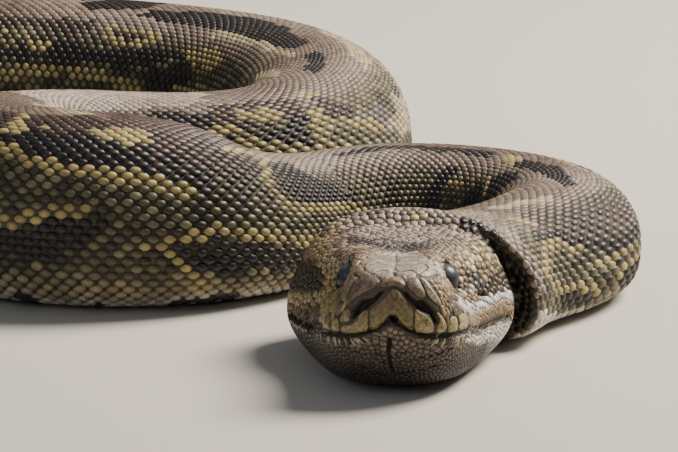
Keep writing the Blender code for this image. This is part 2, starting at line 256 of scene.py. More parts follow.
def bodyLine():
    step = body["step"]
    count = int(round(sum(length for length, _ in body["bends"]) / step))
    middles = (np.arange(count) + 0.5) * step
    curvature = np.zeros(count)
    start = 0.0
    for length, turn in body["bends"]:
        low = np.maximum(middles - body["blend"] / 2, start)
        high = np.minimum(middles + body["blend"] / 2, start + length)
        curvature += math.radians(turn) / length * np.clip(high - low, 0, None) / body["blend"]
        start += length
    heading = math.radians(body["heading"]) + np.concatenate([[0], np.cumsum(curvature * step)])
    middle = (heading[:-1] + heading[1:]) / 2
    steps = np.stack([np.cos(middle), np.sin(middle)], axis=1) * step
    points = np.vstack([[body["start"]], np.array(body["start"]) + np.cumsum(steps, axis=0)])
    along = np.arange(count + 1) * step
    return along, points, heading, np.interp(along, middles, curvature)


lineAlong, linePoints, lineHeading, lineBend = bodyLine()
bodyLength = lineAlong[-1]
girthTable = np.array(body["girth"])


def girthAt(s):
    return smoothCurve(girthTable[:, 0], girthTable[:, 1:], np.asarray(s, float))


def bodyRing(s, angles):
    halfWidth, height = girthAt(s)
    centre = readLine(linePoints, lineAlong, s)[0]
    heading = np.interp(s, lineAlong, lineHeading)
    bend = np.interp(s, lineAlong, lineBend)
    side, width = -np.sign(bend), min(halfWidth, body["tightest"] / max(abs(bend), 1e-6))
    across, up = np.cos(angles), np.sin(angles)
    widest = body["widestAt"] * height
    above, below = body["roundness"]["above"], body["roundness"]["below"]
    x = halfWidth * np.sign(across) * np.abs(across) ** np.where(up > 0, above[0], below[0])
    over = widest + (height - widest) * np.abs(up) ** above[1]
    under = widest - (widest + body["bellyFlat"]) * np.abs(up) ** below[1]
    z = np.where(up > 0, over, np.maximum(under, 0))
    x = np.where(x * side > 0, x * width / halfWidth, x)
    right = np.array([math.sin(heading), -math.cos(heading)])
    ahead = np.array([math.cos(heading), math.sin(heading)])
    fold = math.exp(-(s / body["fold"]["reach"]) ** 2) * np.clip(across, 0, None)
    flat = (centre + np.outer(x + fold * body["fold"]["out"], right)
            - np.outer(fold * body["fold"]["ahead"], ahead))
    return np.column_stack([flat, z])


def headTable():
    rows = [half + [(-x, z) for x, z in half[-2:0:-1]] for _, half in head["stations"]]
    angles = head["angles"] + [-180 - a for a in head["angles"][-2:0:-1]]
    order = np.argsort(-np.radians(angles))
    known = np.radians(angles)[order]
    rows = np.array(rows, float)[:, order]
    known = np.concatenate([known + circle, known, known - circle])[::-1]
    return known, np.concatenate([rows, rows, rows], axis=1)[:, ::-1]


headKnown, headRows = headTable()
headBacks = np.array([s[0] for s in head["stations"]])
skullAxis = math.radians(head["turn"])
skullAhead = np.array([math.cos(skullAxis), math.sin(skullAxis)])
skullRight = np.array([math.sin(skullAxis), -math.cos(skullAxis)])


def headRing(station, angles):
    numbers = np.arange(len(headBacks), dtype=float)
    back = smoothCurve(numbers, headBacks, np.array(station))
    section = smoothCurve(headKnown, smoothCurve(numbers, headRows, np.array(station)), angles)
    x, z = section[:, 0], np.maximum(section[:, 1], 0)
    chin = head["chin"]
    behind = (back + chin["recedes"] * np.clip(chin["below"] - z, 0, None)
              * math.exp(-back / chin["fades"]))
    return np.column_stack([np.outer(behind, skullAhead) + np.outer(x, skullRight), z])


def napeRing(u, angles):
    # between the last ring of the head and the first of the body
    leaves = np.array([*skullAhead, 0])
    turn = math.radians(body["heading"])
    arrives = np.array([math.cos(turn), math.sin(turn), 0])
    start, end = headRing(len(headBacks) - 1, angles), bodyRing(0, angles)
    reach = np.linalg.norm(end - start, axis=1)[:, None]
    rise = body["napeRise"] * math.sin(math.pi * u ** 0.8) * np.clip(np.sin(angles), 0, None)
    return ((1 + 2 * u) * (1 - u) ** 2 * start + u * (1 - u) ** 2 * reach * leaves
            + u * u * (3 - 2 * u) * end + u * u * (u - 1) * reach * arrives
            + np.outer(rise, [-0.5, 0, 1]))


def headPlace(across, back, height):
    # from the head's own directions to the frame
    flat = np.multiply.outer(back, skullAhead) + np.multiply.outer(across, skullRight)
    return np.column_stack([np.atleast_2d(flat), np.ravel(height)]) + place


def toHead(points):
    # from the frame to (across, back, height)
    flat = points[:, :2] - place[:2]
    return np.column_stack([flat @ skullRight, flat @ skullAhead, points[:, 2]])


def eyeMiddle(side):
    return np.array([side * head["eye"]["across"], head["eye"]["back"], head["eye"]["height"]])


# the skin
skin = {
    "headSides": 256, "headRings": 150, "napeRings": 14, "bodySides": 64, "bodyStepMm": 5.2,
    "crowding": 0.85,       # below 1 the rings of the head stand closer towards the snout
    "insetMm": 1.1, "headInsetMm": 0.7,     # how far the skin lies inside the solids
    "fullWidth": 0.03,      # where the tail is narrower the skin lies closer to the solid
}
bodyInset, headInset = skin["insetMm"] / 1000, skin["headInsetMm"] / 1000


def napeInset(share):
    return headInset + (bodyInset - headInset) * share


def insetAt(s):
    return bodyInset * min(1, float(girthAt(s)[0]) / skin["fullWidth"])


def ringsInset(rings, insets):
    # moves every ring's points inwards along the surface's own normal
    moved = []
    for i, ring in enumerate(rings):
        before, after = (r if len(r) == len(ring) else ring
                         for r in (rings[max(i - 1, 0)], rings[min(i + 1, len(rings) - 1)]))
        around = np.roll(ring, -1, axis=0) - np.roll(ring, 1, axis=0)
        normal = np.cross(after - before, around)
        size = np.linalg.norm(normal, axis=1, keepdims=True)
        normal = np.where(size > tiny, normal / np.maximum(size, tiny), 0)
        outward = np.sign(((ring - ring.mean(axis=0)) * normal).sum(axis=1).mean()) or 1.0
        moved.append(ring - normal * outward * insets[i])
    return moved


def skinRings():
    fine = np.linspace(0, circle, skin["headSides"], endpoint=False)
    coarse = fine[::skin["headSides"] // skin["bodySides"]]
    numbers = np.linspace(0, 1, skin["headRings"]) ** skin["crowding"] * (len(headBacks) - 1)
    numbers = np.clip(numbers, 0.015, None)
    rings = [headRing(n, fine) for n in numbers]
    insets = [headInset * min(1, n / 0.5) for n in numbers]
    for share in np.linspace(0, 1, skin["napeRings"])[1:]:
        rings.append(napeRing(share, fine if share < 0.5 else fine[::2]))
        insets.append(napeInset(share))
    count = int(bodyLength / (skin["bodyStepMm"] / 1000))
    alongs = np.linspace(0, bodyLength, count)[1:]
    rings += [bodyRing(s, coarse) for s in alongs]
    insets += [insetAt(s) for s in alongs]
    return rings, insets, alongs


def joinRings(rings):
    points = np.vstack(rings)
    starts = np.concatenate([[0], np.cumsum([len(r) for r in rings])])
    faces = []
    for i in range(len(rings) - 1):
        a, b, n, m = starts[i], starts[i + 1], len(rings[i]), len(rings[i + 1])
        j = np.arange(m)
        k = (j + 1) % m
        if n == m:
            faces += list(np.column_stack([a + k, a + j, b + j, b + k]))
        else:
            # one coarse side meets two fine ones
            a0, a1, a2 = a + 2 * j, a + 2 * j + 1, a + (2 * j + 2) % n
            for three in ([a1, a0, b + j], [a1, b + j, b + k], [a2, a1, b + k]):
                faces += list(np.column_stack(three))
    tip, end = len(points), len(points) + 1
    points = np.vstack([points, rings[0].mean(axis=0), rings[-1].mean(axis=0)])
    n, m = len(rings[0]), len(rings[-1])
    faces += [(j, (j + 1) % n, tip) for j in range(n)]
    faces += [(starts[-2] + (j + 1) % m, starts[-2] + j, end) for j in range(m)]
    return points, faces, starts


# the head's surface. Features of the face are outlined as they look from the front and
# 12 degrees above, as (mm to the side, mm up that slanted view)
slant = math.radians(12)
faceAxis = headPlace(0.0, math.cos(slant), 0.0)[0] - place      # into the face along that view
faceAxis[2] = -math.sin(slant)
mouthLine = [  # the lip line in 3D: mm to the side, back, up
    (-44.3, 81.7, 16.9), (-39.9, 65.4, 18.3), (-34, 46.6, 20.4), (-31.3, 38.3, 22.2),
    (-27.7, 23.7, 23.5), (-22.9, 11.6, 25.3), (-16.7, 5.2, 26.4), (-11.5, 2.6, 27.9),
    (-6.8, 1.6, 29.7), (-4.2, 0.8, 32.1), (-1.3, 0.7, 34.3), (2.1, 0.4, 31.8), (5.5, 1.5, 29.4),
    (10.6, 2.7, 27.2), (16.9, 5.4, 26.4), (21.1, 9.2, 25.8), (26.5, 19.9, 24.9),
    (29.8, 31.3, 22.2), (34, 46.6, 20), (39.9, 65.4, 18.3), (44.3, 81.7, 16.9)]
pitOutlines = {
    "left": [(-2.9, 44.9), (-5.6, 44.3), (-8.4, 41.7), (-13.6, 40.7), (-15.7, 38.4), (-16.8, 36.8),
             (-16.4, 32.7), (-14.8, 33.7), (-12.6, 36), (-10.3, 37.1), (-6.3, 40.6)],
    "right": [(1.4, 45), (4.6, 44.2), (6.5, 42.2), (8.4, 40.9), (11.3, 41.2), (14.1, 38.7),
              (16.2, 36.5), (16.8, 31.7), (15.1, 31.7), (13.5, 34.6), (11, 35.8), (8.4, 37.1),
              (4.6, 41.2)],
}
hollows = [  # outline, depth mm, soft edge mm, how dark the skin is painted there, as painted shade in the hollow
    (pitOutlines["left"], 3.4, 1.3, 1),
    (pitOutlines["right"], 3.4, 1.3, 1),
    ([(-4, 31.9), (-3.2, 33.2), (-2, 34.2), (-0.4, 34.6), (1.2, 33.8), (1.9, 32), (0.5, 32.5),
     (-1.5, 32.6)], 5, 0.9, 1),
    ([(30.5, 28.5), (36, 30.2), (40.5, 31.6), (44.5, 33.4), (41, 29.8), (36, 28), (31.5, 27.2)],
     3.2, 1.4, 0.9),
    ([(29.5, 43.6), (33, 43.9), (35.8, 42.6), (34, 41), (31, 41.2)], 2, 1.2, 0.8),
    ([(-33.2, 41), (-31.8, 41.2), (-32.4, 37.4), (-33.6, 36.6)], 1.8, 0.8, 0.8),
]
grooves = [  # face line, width mm, depth mm
    ([(-2, 25.6), (-1.9, 23.2), (-2.6, 21.3), (-2.3, 18.7), (-1.8, 16.1), (-0.5, 12)], 0.9, 1.4),
    ([(-8.2, 20.6), (-6.2, 20), (-4.6, 18.8), (-2.4, 18.4), (-0.6, 18.5), (1.4, 19.4), (5.6, 20.4)],
     0.8, 1),
    ([(-0.7, 57), (-0.6, 54.4), (-0.9, 52.2), (-0.6, 50)], 0.7, 1),
    ([(-32.6, 41), (-34.4, 37.6), (-35.2, 33.6), (-34.8, 29.6), (-33.6, 27)], 1.3, 1.3),
    ([(-37.4, 37), (-39, 33.6), (-39.4, 30)], 1, 0.8),
    ([(-41.2, 36), (-42.4, 32.6), (-42.6, 29.6)], 0.9, 0.7),
    ([(-27.6, 50.4), (-29.8, 47.2), (-30.6, 43.4), (-31.6, 41.2)], 0.8, 0.6),
    ([(-20, 22), (-14, 20.6), (-9, 19), (-4, 16)], 0.7, 0.7),
    ([(-16, 15), (-10, 13.6), (-4, 11)], 0.7, 0.6),
    ([(2, 16.4), (8, 18), (15, 19.6), (22, 22.4)], 0.7, 0.7),
    ([(1, 11.6), (8, 13), (16, 15.4)], 0.7, 0.6),
]
lips = {"grooveMm": 1.1, "cornerMm": 0.6, "sunkMm": 0.8}    # half the width, and more at the corners
# dark: painted shade on the sunk ring round each eye
eyeRim = {"reachMm": 6.6, "softMm": 1.5, "sunkMm": 1.3, "dark": 0.8}


def onFace(points):
    # head places in mm to the slanted front view
    return np.column_stack([points[:, 0], points[:, 2] * math.cos(slant)
                            + points[:, 1] * math.sin(slant)])


def headDents(points, frontal):
    # how deep the skin is sunk, in mm, and how dark it is painted as shade where it is sunk, at head
    # places in mm
    flat = onFace(points)
    near = lineDistance(points, mouthLine)
    gape = lips["grooveMm"] + lips["cornerMm"] * softStep(22, 34, np.abs(points[:, 0]))
    deep = (lips["sunkMm"] + gape) * np.clip(1 - (near / gape) ** 2, 0, 1)
    dark = np.clip(1.5 - near / (gape * 0.85), 0, 1)
    for outline, depth, soft, shade in hollows:
        t = softStep(-0.2, soft, insideBy(flat, outline)) * frontal
        deep, dark = np.maximum(deep, depth * t), np.maximum(dark, shade * t)
    for line, width, depth in grooves:
        t = np.clip(1 - (lineDistance(flat, line) / width) ** 2, 0, 1) * frontal
        deep, dark = np.maximum(deep, depth * t), np.maximum(dark, t)
    reach = eyeRim["reachMm"]
    for side in (-1, 1):
        away = np.linalg.norm(points - eyeMiddle(side) * 1000, axis=1)
        around = np.exp(-((away - reach) / eyeRim["softMm"]) ** 2) + (away < reach)
        deep = np.maximum(deep, eyeRim["sunkMm"] * np.clip(around, 0, 1))
        dark = np.maximum(dark, eyeRim["dark"] * softStep(8.0, 6.4, away))
    return deep, dark


headColours = {
    "top": "#a08c74", "topBrown": "#7f6b53", "side": "#72623f", "chin": "#6c5e50",
    "paintedChinShade": "#2b231e", "throat": "#c5c1b8", "streak": "#4b3c2c", "paleStreak": "#a8935f",
    "lipPale": "#a1957f", "lipDark": "#2c2420", "mottle": "#5f5048", "furrowShade": "#352c29",
    # pit: near black, the painted shade of the lip line, the pits, the grooves and the eye rims
    "cheekBand": "#4a3e2a", "jowl": "#b9b3a8", "pit": "#060505", "spot": "#2b2726",
}
headPaint = {name: toLinear(code) for name, code in headColours.items()}
pebbleColours = [(0.0, 0.16, "#55514d"), (0.16, 0.42, "#7c6c46"), (0.62, 1.0, "#b5a488")]
# colour areas of the face: outline on the front view, colour, soft edge mm
faceAreas = [
    ([(-11, 49.8), (-9.5, 56), (-6, 58.2), (0, 58.6), (6, 58.4), (10, 56), (12, 50)], "#b9ad9f", 2),
    ([(-20, 62.3), (-13.5, 62), (-6.7, 60.3), (-0.5, 59), (4, 60.4), (9.8, 60.2), (15.5, 61.8),
     (24, 68.5), (18, 74), (-4, 77.5), (-24, 74)], "#8b7c70", 1.5),
    ([(-20.5, 61.9), (-13.5, 61.4), (-6.7, 59.6), (-0.5, 58.4), (4, 59.7), (9.8, 59.4), (15.5, 61),
     (16, 62), (9.8, 61.6), (4, 61.9), (-0.5, 60.8), (-6.7, 61.9), (-13.5, 63.6), (-20, 64)],
     "#352c2d", 0.9),
    ([(4.5, 72), (8, 73.2), (11.5, 72.4), (9, 71), (5.5, 70.9)], "#b39a5c", 0.6),
    ([(-30, 62), (-25, 68), (-33, 66), (-42, 58), (-47, 52), (-42, 50), (-33, 55), (-27, 57)], "#8a7452",
     2),
    ([(-48.6, 53), (-42, 55.5), (-34.3, 55), (-30.5, 51.8), (-30.4, 47), (-30.3, 42.9), (-36, 42),
     (-43, 41.1), (-48.6, 46)], "#3b3120", 1.2),
    ([(-49, 41.4), (-38.4, 41.6), (-32.1, 41.3), (-28, 41.9), (-31, 38.2), (-38.2, 37.5),
     (-49, 38)], "#b3a176", 0.9),
    ([(36.2, 51.6), (44.1, 52), (49, 50), (49, 44), (44.6, 43.9), (39.8, 42.4), (35.5, 41.4),
     (31.2, 41.7), (29.6, 43.6), (33.5, 46)], "#3d311d", 1.2),
    # a pale stripe, whiter than the same stripe on the left: partly its own colour, partly painted light
    # on the lit right side
    ([(23, 40.2), (26, 39.6), (28.7, 38.6), (32.1, 41.2), (35.5, 41.4), (39.8, 43.2), (49, 42.6),
     (49, 38.6), (41.6, 39), (38.1, 37.8), (33.8, 36.6), (29.6, 35), (25.4, 36.6)], "#ddd9d2", 0.9),
    ([(29.5, 35.2), (34, 36.6), (38.1, 37.8), (44, 38.8), (49, 38.8), (49, 34), (44, 33), (38, 30.8),
     (30, 29)], "#8a7458", 1.4),
    ([(28, 28), (32, 27.6), (38.2, 28.6), (44.3, 32.6), (49, 33), (49, 27.5), (40, 24.4),
     (31.5, 23), (27.5, 24.6)], "#cfcac1", 1.2),
]


def headTint(points, frontal, jitter):
    # colour of the head at places in mm
    flat = onFace(points)
    across, back, high = points.T
    out = np.abs(across)

    def cover(tint, name, share):
        return mixColours(tint, headPaint[name], share)

    cloud = softNoise(across / 6 + 40, back / 6 + high / 9, 21)
    tint = cover(headPaint["top"], "topBrown", cloud)
    low = softStep(34, 27, high) * softStep(3.0, -1.0, flat[:, 1] - 27.5 - out * 0.12)
    upper = softStep(40, 33, high) * (1 - low)
    tint = cover(tint, "side", upper * 0.9)
    # painted shade: the chin goes darker towards its underside
    chin = cover(headPaint["chin"], "paintedChinShade", softStep(25, 10, high))
    tint = mixColours(tint, chin, low)
    tint = cover(tint, "throat", low * softStep(30, 44, across) * softStep(40, 60, back))
    streak = softNoise(across / 1.2, high / 9 + 30, 23)
    onSide = softStep(17, 22, out) * softStep(44, 40, high) * softStep(22, 26, high)
    tint = cover(tint, "streak", onSide * softStep(0.50, 0.62, streak) * 0.75)
    tint = cover(tint, "paleStreak", onSide * softStep(0.46, 0.36, streak) * 0.6)
    slips = low * softStep(4.4, 3.6, lineDistance(points, mouthLine)) * softStep(9, 13, out)
    tint = cover(tint, "lipPale", slips * (jitter > 0.6) * 0.8)
    tint = cover(tint, "lipDark", slips * (jitter < 0.25) * 0.8)
    crown = softStep(43, 46, high) * softStep(40, 52, back)
    mottle = softNoise(across / 3.2, back / 3.2 + 11, 24)
    tint = cover(tint, "mottle", crown * softStep(0.45, 0.70, mottle) * 0.6)
    pebbly = np.exp(-((across - 31) / 9) ** 2 - ((high - 39) / 8) ** 2) > 0.35
    for least, most, colour in pebbleColours:
        tint[pebbly & (jitter >= least) & (jitter < most)] = toLinear(colour)
    wobble = (softNoise(across / 2.2, high / 2.2 + back / 5, 22) - 0.5) * 1.6
    for outline, colour, soft in faceAreas:
        t = softStep(-soft, soft, insideBy(flat, outline) + wobble) * frontal
        tint = mixColours(tint, toLinear(colour), t)
    # painted shade: dark lines of fine furrows across the crown
    furrowShade = np.abs(softNoise(across / 7.0 + 5, back / 2.6, 26) - 0.5)
    tint = cover(tint, "furrowShade", crown * softStep(0.130, 0.060, furrowShade) * 0.75)
    # rear of the cheeks, out of the front view: the same bands run on to the neck
    rear = 1 - frontal
    band = softStep(20, 24, high) * softStep(40, 36, high)
    tint = cover(tint, "cheekBand", rear * band * 0.8)
    tint = cover(tint, "jowl", softStep(14, 6, high) * rear)
    # painted light: the upper head, and the crown most of all, made lighter
    lift = 1 + 0.16 * softStep(28, 40, high) + 0.26 * crown
    return tint * (lift * (0.68 + 0.62 * jitter))[:, None]


# markings: they lie on the body at a distance along it and a share of the way round
# from the middle of the back (0) to the middle of the belly (1); right is negative
colours = {
    "back": "#6c5b50", "backPale": "#8f7f72", "crest": "#524038", "nape": "#9c8d7c",
    # flank: an olive darker than it shows in full light, partly its own colour and partly painted shade
    "paintedSheen": "#ab9c91", "flank": "#423d27", "flankPale": "#746d4d", "brown": "#43332b",
    "dark": "#1d1715", "yellow": "#a08f5b", "straw": "#ab9c7a", "grey": "#6b6460",
    "dun": "#57493f", "belly": "#cdc8bb", "speckle": "#3a3634", "betweenScales": "#1b1714",
}
paint = {name: toLinear(code) for name, code in colours.items()}
areas = [  # colour and outline
    ("nape", [(-.085, -.15), (.008, -.15), (.014, -.06), (.012, .06), (.004, .16), (-.085, .16)]),
    # left loop, outer side
    ("brown", [(.392, .25), (.388, .09), (.36, .04), (.344, .02), (.336, .08), (.322, .1), (.316, .16),
     (.318, .3), (.33, .29), (.342, .28), (.352, .28), (.366, .25)]),
    ("dark", [(.392, .24), (.38, .17), (.352, .15), (.346, .14), (.34, .15), (.332, .19), (.324, .21),
     (.318, .24), (.318, .31), (.328, .3), (.34, .29), (.352, .27)]),
    ("brown", [(.32, .02), (.312, .1), (.302, .11), (.294, .14), (.284, .19), (.286, .26), (.298, .29),
     (.308, .32), (.316, .32), (.32, .28)]),
    ("dark", [(.318, .22), (.312, .27), (.306, .3), (.308, .34), (.316, .33), (.32, .31)]),
    ("crest", [(.338, -.07), (.3, -.09), (.282, -.07), (.278, .09), (.29, .15), (.304, .11),
     (.32, .11), (.336, .08)]),
    ("yellow", [(.342, .12), (.334, .12), (.326, .125), (.319, .13), (.324, .19), (.332, .19),
     (.34, .17)]),
    ("yellow", [(.369, .18), (.371, .12), (.373, .05), (.375, 0), (.367, .05), (.365, .12),
     (.366, .17)]),
    ("yellow", [(.358, .15), (.356, .12), (.353, .13), (.355, .15)]),
    # a pale straw patch, partly its own colour and partly painted sheen
    ("straw", [(.362, .02), (.368, -.05), (.356, -.05), (.344, -.02), (.344, .02), (.352, .02)]),
    ("dark", [(.392, .5), (.356, .485), (.35, .465), (.344, .445), (.338, .44), (.334, .46),
     (.336, .5), (.342, .53), (.35, .57), (.392, .6)]),
    ("dark", [(.318, .525), (.312, .515), (.304, .5), (.296, .515), (.284, .53), (.262, .545),
     (.262, .63), (.29, .63), (.304, .64), (.312, .61), (.316, .575)]),
    ("dark", [(.276, .17), (.264, .14), (.262, .2), (.256, .26), (.246, .3), (.236, .34), (.23, .37),
     (.24, .37), (.258, .37), (.272, .37), (.279, .33), (.281, .26)]),
    # between the loops, right side
    # painted sheen: a pale patch where light lies along the top of the loop
    ("paintedSheen", [(.45, .04), (.536, .04), (.541, -.01), (.536, -.05), (.538, -.09), (.53, -.13),
     (.504, -.16), (.47, -.21), (.45, -.21)]),
    # dark scales, together with painted shade in the valley between the coils
    ("dark", [(.516, -.17), (.529, -.165), (.538, -.19), (.543, -.235), (.541, -.31), (.508, -.31)]),
    ("brown", [(.54, -.14), (.562, -.13), (.573, -.16), (.57, -.24), (.562, -.25), (.556, -.285),
     (.551, -.29), (.54, -.24)]),
    ("yellow", [(.546, -.175), (.558, -.18), (.5605, -.215), (.558, -.255), (.551, -.245),
     (.546, -.215)]),
    ("yellow", [(.538, -.245), (.544, -.24), (.55, -.265), (.549, -.3), (.538, -.29)]),
    ("dark", [(.551, -.3), (.556, -.285), (.562, -.25), (.569, -.24), (.571, -.27), (.569, -.37),
     (.561, -.355), (.553, -.33)]),
    ("yellow", [(.5715, -.22), (.578, -.24), (.5765, -.28), (.573, -.38), (.569, -.38), (.5705, -.28)]),
    ("yellow", [(.576, -.11), (.583, -.15), (.58, -.18), (.574, -.16)]),
    ("brown", [(.578, -.18), (.586, -.21), (.592, -.27), (.586, -.31), (.582, -.3), (.578, -.27)]),
    ("grey", [(.59, -.3), (.602, -.29), (.614, -.32), (.606, -.41), (.594, -.38), (.588, -.34)]),
    ("straw", [(.622, -.3), (.638, -.37), (.634, -.47), (.616, -.46), (.604, -.4), (.612, -.37)]),
    # back loop, left side
    ("dark", [(.764, .12), (.757, .06), (.738, .03), (.714, .02), (.672, .02), (.65, .03), (.643, .07),
     (.648, .1), (.666, .14), (.692, .15), (.724, .15), (.746, .155)]),
    ("dark", [(.628, .04), (.634, 0), (.616, -.04), (.598, -.05), (.602, .01)]),
    ("brown", [(.87, .17), (.784, .18), (.782, .23), (.87, .27)]),
    ("dark", [(.87, .32), (.804, .3), (.778, .3), (.75, .29), (.728, .27), (.716, .29), (.742, .34),
     (.776, .35), (.87, .37)]),
    ("yellow", [(.783, .24), (.774, .2), (.756, .205), (.74, .21), (.74, .245), (.764, .285),
     (.78, .275)]),
    ("brown", [(.775, .23), (.77, .212), (.756, .22), (.752, .24), (.774, .255)]),
    ("yellow", [(.82, .29), (.808, .27), (.806, .3), (.818, .32)]),
    ("yellow", [(.85, .23), (.832, .22), (.829, .28), (.85, .3)]),
    ("dark", [(.742, .375), (.738, .34), (.718, .295), (.708, .33), (.709, .385), (.736, .415)]),
    ("yellow", [(.722, .27), (.698, .24), (.683, .28), (.702, .32), (.712, .3), (.718, .285)]),
    ("yellow", [(.722, .4), (.7, .37), (.68, .355), (.69, .39), (.706, .42)]),
    ("straw", [(.626, .24), (.606, .12), (.59, .09), (.598, .14), (.612, .24)]),
    ("straw", [(.692, -.12), (.668, -.17), (.646, -.19), (.626, -.17), (.64, -.11), (.668, -.07)]),
    # neck, right side
    ("dun", [(.02, -.17), (.034, -.14), (.046, -.15), (.06, -.15), (.09, -.2), (.094, -.4),
     (.076, -.4), (.066, -.39), (.056, -.41), (.05, -.39), (.04, -.33), (.026, -.29), (.018, -.24)]),
    ("dark", [(.02, -.235), (.025, -.275), (.034, -.3), (.046, -.335), (.052, -.375), (.058, -.4),
     (.068, -.395), (.09, -.43), (.088, -.46), (.066, -.465), (.056, -.46), (.05, -.41), (.042, -.37),
     (.03, -.335), (.02, -.325), (.016, -.28)]),
    ("yellow", [(.014, -.335), (.02, -.328), (.032, -.338), (.042, -.368), (.049, -.395), (.047, -.415),
     (.04, -.4), (.03, -.37), (.014, -.36)]),
    ("dark", [(.024, -.55), (.034, -.55), (.04, -.575), (.05, -.6), (.05, -.65), (.038, -.64),
     (.026, -.6)]),
    ("belly", [(0, -.61), (.02, -.635), (.034, -.66), (.048, -.68), (.07, -.7), (.07, -.81),
     (0, -.81)]),
    # painted shadow in the deep fold behind the head, over some dark pattern
    ("dark", [(-.034, -.21), (-.024, -.17), (-.012, -.18), (-.009, -.72), (-.038, -.72)]),
    # painted highlight: a pale band along the lit rim of the fold
    ("backPale", [(-.012, -.07), (.006, -.09), (.006, -.5), (-.008, -.56), (-.011, -.2)]),
    # neck, left side and the band over its crest
    ("dark", [(.228, .03), (.192, -.01), (.176, .01), (.148, .02), (.142, .11), (.152, .12), (.166, .1),
     (.194, .07), (.228, .1)]),
    ("yellow", [(.147, 0), (.136, .01), (.124, .1), (.128, .14), (.141, .11)]),
    ("dark", [(.134, .03), (.118, .02), (.102, -.02), (.088, -.05), (.072, -.1), (.07, -.05),
     (.086, .05), (.108, .11), (.124, .12)]),
    ("dark", [(.16, .19), (.158, .25), (.165, .29), (.172, .42), (.186, .42), (.178, .33), (.17, .22)]),
    ("dark", [(.132, .25), (.126, .19), (.112, .17), (.1, .2), (.108, .4), (.122, .45), (.128, .36)]),
]
streaks = [  # colour, half its width in mm, and its line
    ("yellow", 2.4, [(.392, .22), (.364, .245), (.358, .27), (.35, .29), (.336, .31), (.328, .315),
     (.32, .34), (.312, .36)]),
    ("yellow", 2.4, [(.392, .47), (.366, .47), (.356, .465), (.35, .44), (.344, .425), (.338, .42)]),
    ("yellow", 2.2, [(.324, .54), (.32, .51), (.312, .5), (.304, .48), (.294, .5), (.276, .515),
     (.262, .51)]),
    ("yellow", 2.2, [(.321, .52), (.317, .58), (.314, .61), (.31, .67)]),
    ("yellow", 2.2, [(.276, .13), (.282, .18), (.284, .25), (.286, .31), (.282, .36), (.276, .385),
     (.262, .385), (.25, .385), (.24, .4), (.23, .43)]),
    ("yellow", 2, [(.296, .165), (.29, .155), (.283, .14)]),
    ("yellow", 2.4, [(.546, -.31), (.554, -.345), (.562, -.365), (.57, -.385), (.58, -.4)]),
    ("yellow", 2.2, [(.574, -.275), (.58, -.295), (.59, -.325), (.6, -.38)]),
    ("straw", 2.2, [(.71, .175), (.68, .165), (.644, .13), (.63, .08)]),
    ("yellow", 2.6, [(.87, .42), (.828, .405), (.814, .39), (.794, .375), (.776, .38), (.758, .405),
     (.744, .42)]),
    ("yellow", 2.4, [(.02, -.34), (.015, -.4), (.011, -.45), (.013, -.49), (.022, -.525), (.036, -.55),
     (.05, -.59)]),
    ("yellow", 2.2, [(.052, -.475), (.06, -.49), (.066, -.47), (.076, -.47)]),
    ("yellow", 2, [(.166, .3), (.158, .29), (.152, .31)]),
    ("yellow", 2.2, [(.131, .25), (.127, .3), (.124, .36)]),
    ("straw", 4.4, [(.024, -.01), (.038, -.04), (.05, -.08)]),
    ("yellow", 2, [(.018, -.16), (.022, -.19), (.026, -.22)]),
    ("yellow", 2.6, [(-.004, .1), (-.001, .05), (.004, 0)]),
]
blotches = [  # from, to, share from, share to, colour, rim colour or None
    (0.09, 0.148, 0.3, 0.62, "dark", None),
    (0.03, 0.07, 0.2, 0.44, "dark", "yellow"),
    (0.07, 0.1, -0.66, -0.55, "dark", "yellow"),
    (0.11, 0.15, -0.36, -0.14, "dark", "yellow"),
    (0.176, 0.232, -0.34, -0.16, "dark", "yellow"),
    (0.262, 0.322, -0.3, -0.1, "dark", "yellow"),
    # a pale straw patch, partly its own colour and partly painted sheen
    (0.405, 0.455, -0.24, -0.13, "straw", None),
    (0.41, 0.455, 0.09, 0.28, "dark", "yellow"),
    (0.405, 0.438, 0.5, 0.64, "dark", "yellow"),
    (0.475, 0.53, 0.1, 0.26, "dark", "yellow"),
    (0.496, 0.526, -0.46, -0.3, "brown", None),
    (0.646, 0.7, -0.42, -0.26, "dark", "yellow"),
    (0.64, 0.672, 0.44, 0.58, "dark", "yellow"),
]


def laterBlotches():
    # the rest of the body goes on in the same way: long ones beside the back, small ones low
    made = []
    for side, start in ((1, 0.885), (-1, 0.730)):
        s, n = start, 0
        while s < bodyLength - 0.08:
            size = min(1, girthAt(s)[0] / 0.045)
            long = (0.062 + 0.050 * dice(n, side, 3)) * (0.45 + 0.55 * size)
            low, high = 0.075 + 0.03 * dice(n, side, 4), 0.25 + 0.06 * dice(n, side, 5)
            made.append((s, s + long, side * low, side * high, "dark", "yellow", 0))
            if dice(n, side, 6) > 0.45:
                mid = s + long * (0.3 + 0.3 * dice(n, side, 7))
                made.append((mid, mid + 0.016 * size, side * (low + 0.05), side * (low + 0.11),
                             "yellow", None, side * 1.5))
            if dice(n, side, 8) > 0.6:   # some pairs join across the back
                made.append((s + long * 0.3, s + long * 0.6, -0.10, 0.10, "dark", None, 0))
            lowAt = s + long * (0.45 + 0.5 * dice(n, side, 9))
            made.append((lowAt, lowAt + 0.042 * (0.5 + 0.5 * size), side * 0.50, side * 0.66,
                         "dark", "yellow", 0))
            s += long + (0.020 + 0.026 * dice(n, side, 10)) * (0.5 + 0.5 * size)
            n += 1
    return made


# from, to, share from, share to, colour, rim colour, slant
allBlotches = [(*blotch, 0) for blotch in blotches] + laterBlotches()


